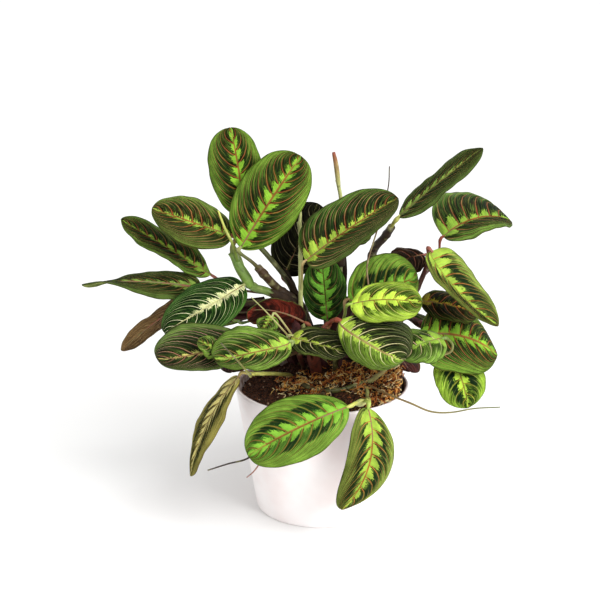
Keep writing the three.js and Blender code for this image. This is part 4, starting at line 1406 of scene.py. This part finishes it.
def build_pattern():
    """Node group that paints a blade's upper side and gives its relief."""
    tree = bpy.data.node_groups.new("leaf_pattern", "ShaderNodeTree")
    for key, value in next(iter(LOOKS.values())).items():
        kind = "NodeSocketColor" if isinstance(value, str) else "NodeSocketFloat"
        tree.interface.new_socket(key, in_out="INPUT", socket_type=kind)
    tree.interface.new_socket("Colour", in_out="OUTPUT", socket_type="NodeSocketColor")
    tree.interface.new_socket("Height", in_out="OUTPUT", socket_type="NodeSocketFloat")
    wires = Wires(tree)
    given = tree.nodes.new("NodeGroupInput").outputs
    spot = BladeSpot(wires)
    tone = paint_ground(wires, spot, given)
    tone = paint_blocks(wires, spot, given, tone)
    tone = paint_centre(wires, spot, given, tone)
    tone = paint_veins(wires, spot, given, tone)
    rib = wires.times(wires.ease(spot.t, 0.038, 0.015), wires.ease(spot.along, 1.0, 0.75))
    tone = wires.blend(wires.times(rib, 0.85), tone, given["midrib"])
    tone = wires.blend(wires.ease(spot.t, 0.955, 0.995, 0.0, 0.6), tone, given["brown"])
    cloud = wires.ease(wires.noise(spot.place, 1.1, 3.0), 0.3, 0.7)
    tone = wires.blend(1.0, tone, wires.blend(cloud, shade("#cfcfcf"), shade("#ffffff")), "MULTIPLY")

    height = wires.times(wires.ease(spot.gap, 0.0, 0.3), 0.8)
    height = wires.plus(height, wires.times(spot.fine, 0.7))
    height = wires.plus(height, wires.times(spot.hair, 0.35))
    height = wires.minus(height, wires.times(rib, 0.6))
    result = tree.nodes.new("NodeGroupOutput").inputs
    tree.links.new(tone, result["Colour"])
    tree.links.new(height, result["Height"])
    return tree


def upper_material(name, row, pattern, roughness):
    """Satin upper side of a blade, painted by the leaf pattern."""
    material, wires, shader = new_material(f"leaf_{name}")
    group = wires.tree.nodes.new("ShaderNodeGroup")
    group.node_tree = pattern
    for key, value in row.items():
        group.inputs[key].default_value = shade(value) if isinstance(value, str) else value
    coat(wires, shader, group.outputs["Colour"], roughness, 0.04)
    bumped(wires, shader, group.outputs["Height"], 0.001, 0.9)
    return material


# Undersides: light and dark clouds, streaks, side veins.
UNDERSIDES = {
    "wine": ("#6a2a1c", "#24100b", "#180a07", "#8c5040"),
    "ruddy": ("#9a3c2c", "#240f0a", "#1c0b08", "#7a3626"),
    "umber": ("#6c5230", "#24130a", "#b89866", "#1c0e06"),
    "olive": ("#a6b064", "#647638", "#48521f", "#94844c"),
}


def under_material(name, light, dark, streaky, vein_tone):
    """Underside of a blade: clouded and streaked, with painted shade that darkens it towards the heart of
    the plant.
    """
    material, wires, shader = new_material(f"underside_{name}")
    vein, edge, seed = (wires.attribute(key) for key in ("vein", "edge", "seed"))
    gap = vein_gap(wires, wires.plus(vein, VEINS_BEFORE))[1]
    streak = streaks(wires, vein, 5.0, edge, 2.0, seed)
    thin = streaks(wires, vein, 16.0, edge, 3.0, seed)
    cloud = wires.noise(wires.place(), 45.0, 3.0)
    tone = wires.blend(wires.ease(cloud, 0.4, 0.6), shade(light), shade(dark))
    tone = wires.blend(wires.ease(streak, 0.46, 0.6, 0.0, 0.7), tone, shade(dark))
    tone = wires.blend(wires.ease(thin, 0.52, 0.6, 0.0, 0.7), tone, shade(streaky))
    tone = wires.blend(wires.ease(edge, 0.85, 1.0, 0.0, 0.3), tone, shade("#55522a"))
    tone = wires.blend(wires.ease(gap, 0.05, 0.02, 0.0, 0.3), tone, shade(vein_tone))
    # Painted shade: the underside turns near-black towards the plant's upright axis, where the heart of the
    # plant lies in shade.
    flat = {0: wires.place(), 1: (1.0, 1.0, 0.0)}
    flat = wires.node("ShaderNodeVectorMath", flat, operation="MULTIPLY")
    from_axis = wires.node("ShaderNodeVectorMath", {0: flat}, "Value", operation="LENGTH")
    tone = wires.blend(wires.ease(from_axis, 0.05, 0.012, 0.0, 0.6), tone, shade("#120705"))
    coat(wires, shader, tone, 0.6, 0.1)
    height = wires.minus(wires.times(streak, 0.6), wires.ease(gap, 0.0, 0.12))
    bumped(wires, shader, height, 0.0006, 0.6)
    return material


def rib_material():
    """The midrib's own skin below the blade."""
    material, wires, shader = new_material("leaf_rib")
    grain = wires.noise(wires.place(), 300.0, 2.0)
    tone = wires.blend(wires.ease(grain, 0.35, 0.65), shade("#8a4a34"), shade("#6e6a38"))
    coat(wires, shader, tone, 0.5)
    return material


def build_leaves(settings):
    pattern = build_pattern()
    unders = {name: under_material(name, *tones) for name, tones in UNDERSIDES.items()}
    rib = rib_material()
    uppers = {
        name: upper_material(name, row, pattern, settings.roughness) for name, row in LOOKS.items()
    }
    for name, row in LEAVES.items():
        build_blade(name, row, settings, [uppers[row["look"]], unders[row["under"]], rib])


# ---------------------------------------------------------------- stage

FLOOR_REACH = 9
KEY_PLACE, KEY_AIM, KEY_SIZE = Vector((0.8, -0.95, 0.8)), Vector((0, 0, 0.15)), 0.6
SUN_SIDE, SUN_SPREAD = Vector((0.45, -0.5, 0.9)), math.radians(40)
CAMERA_PLACE, CAMERA_TILT = (-0.0164, -1.126, 0.509), math.radians(90 - 17.2)
SENSOR_WIDTH = 36


def build_floor(settings):
    bm = bmesh.new()
    bmesh.ops.create_grid(bm, x_segments=1, y_segments=1, size=FLOOR_REACH)
    mesh = bpy.data.meshes.new("floor")
    bm.to_mesh(mesh)
    bm.free()
    material, wires, shader = new_material("pale_floor")
    soft = wires.ease(wires.noise(wires.place(), 3.0, 2.0), 0.3, 0.7)
    coat(wires, shader, wires.blend(soft, settings.floor, shade("#f7f7f6")), 0.85, 0.1)
    mesh.materials.append(material)
    placed("floor", mesh)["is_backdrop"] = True


def build_lights(settings):
    world = bpy.data.worlds.new("studio")
    world.use_nodes = True
    background = world.node_tree.nodes["Background"]
    background.inputs["Color"].default_value = (1, 1, 1, 1)
    background.inputs["Strength"].default_value = settings.sky
    bpy.context.scene.world = world

    key = bpy.data.lights.new("key", "AREA")
    key.shape = "DISK"
    key.size = KEY_SIZE
    key.energy = settings.key_power
    lamp = placed("key", key)
    lamp.location = KEY_PLACE
    lamp.rotation_euler = (KEY_AIM - KEY_PLACE).to_track_quat("-Z", "Y").to_euler()

    sun = bpy.data.lights.new("sun", "SUN")
    sun.energy = settings.sun_power
    sun.angle = SUN_SPREAD
    placed("sun", sun).rotation_euler = SUN_SIDE.to_track_quat("Z", "Y").to_euler()


def build_stage(settings):
    build_floor(settings)
    build_lights(settings)
    scene = bpy.context.scene
    camera = bpy.data.cameras.new("camera")
    camera.lens = settings.lens
    camera.sensor_width = SENSOR_WIDTH
    eye = placed("camera", camera)
    eye.location = CAMERA_PLACE
    eye.rotation_euler = (CAMERA_TILT, 0, 0)
    scene.camera = eye
    scene.view_settings.view_transform = "Standard"


# ---------------------------------------------------------------- operators and panel


class PLANT_OT_pot(bpy.types.Operator):
    """Make the white pot"""

    bl_idname = "plant.pot"
    bl_label = "Make pot"

    def execute(self, context):
        build_pot(context.scene.plant_pot)
        return {"FINISHED"}


class PLANT_OT_peat(bpy.types.Operator):
    """Make the peat that fills the pot"""

    bl_idname = "plant.peat"
    bl_label = "Make peat"

    def execute(self, context):
        build_peat(context.scene.plant_peat)
        return {"FINISHED"}


class PLANT_OT_litter(bpy.types.Operator):
    """Make the loose crumbs and coir fibres on the peat"""

    bl_idname = "plant.litter"
    bl_label = "Make crumbs and fibres"

    def execute(self, context):
        build_crumbs(context.scene.plant_peat)
        build_fibres(context.scene.plant_peat)
        return {"FINISHED"}


class PLANT_OT_shoots(bpy.types.Operator):
    """Make the shoots, runners and leaf stalks"""

    bl_idname = "plant.shoots"
    bl_label = "Make shoots"

    def execute(self, context):
        build_shoots(context.scene.plant_shoots)
        build_dry_sheaths(context.scene.plant_shoots)
        return {"FINISHED"}


class PLANT_OT_leaves(bpy.types.Operator):
    """Make the patterned leaf blades"""

    bl_idname = "plant.leaves"
    bl_label = "Make leaves"

    def execute(self, context):
        build_leaves(context.scene.plant_leaves)
        return {"FINISHED"}


class PLANT_OT_stage(bpy.types.Operator):
    """Make the floor, the light and the camera"""

    bl_idname = "plant.stage"
    bl_label = "Make stage"

    def execute(self, context):
        build_stage(context.scene.plant_stage)
        return {"FINISHED"}


STEPS = (
    PLANT_OT_pot, PLANT_OT_peat, PLANT_OT_litter, PLANT_OT_shoots, PLANT_OT_leaves, PLANT_OT_stage,
)


class PLANT_PT_panel(bpy.types.Panel):
    """Sidebar panel with one button for each step and its settings"""

    bl_idname = "PLANT_PT_panel"
    bl_label = "Potted prayer plant"
    bl_space_type = "VIEW_3D"
    bl_region_type = "UI"
    bl_category = "Plant"

    def draw(self, context):
        for step in STEPS:
            self.layout.operator(step.bl_idname)
        for key, group in SETTINGS.items():
            box = self.layout.box()
            box.label(text=group.__name__)
            for name in group.__annotations__:
                box.prop(getattr(context.scene, key), name)


CLASSES = (*SETTINGS.values(), *STEPS, PLANT_PT_panel)


def register():
    for item in CLASSES:
        bpy.utils.register_class(item)
    for key, group in SETTINGS.items():
        setattr(bpy.types.Scene, key, PointerProperty(type=group))


def unregister():
    for key in SETTINGS:
        delattr(bpy.types.Scene, key)
    for item in reversed(CLASSES):
        bpy.utils.unregister_class(item)


def main():
    register()
    bpy.ops.plant.pot()
    bpy.ops.plant.peat()
    bpy.ops.plant.litter()
    bpy.ops.plant.shoots()
    bpy.ops.plant.leaves()
    bpy.ops.plant.stage()
    sizes = {"frame": FRAME_BOUNDS, "visual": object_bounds()}
    sizes = {key: [list(corner) for corner in box] for key, box in sizes.items()}


if __name__ == "__main__":
    main()
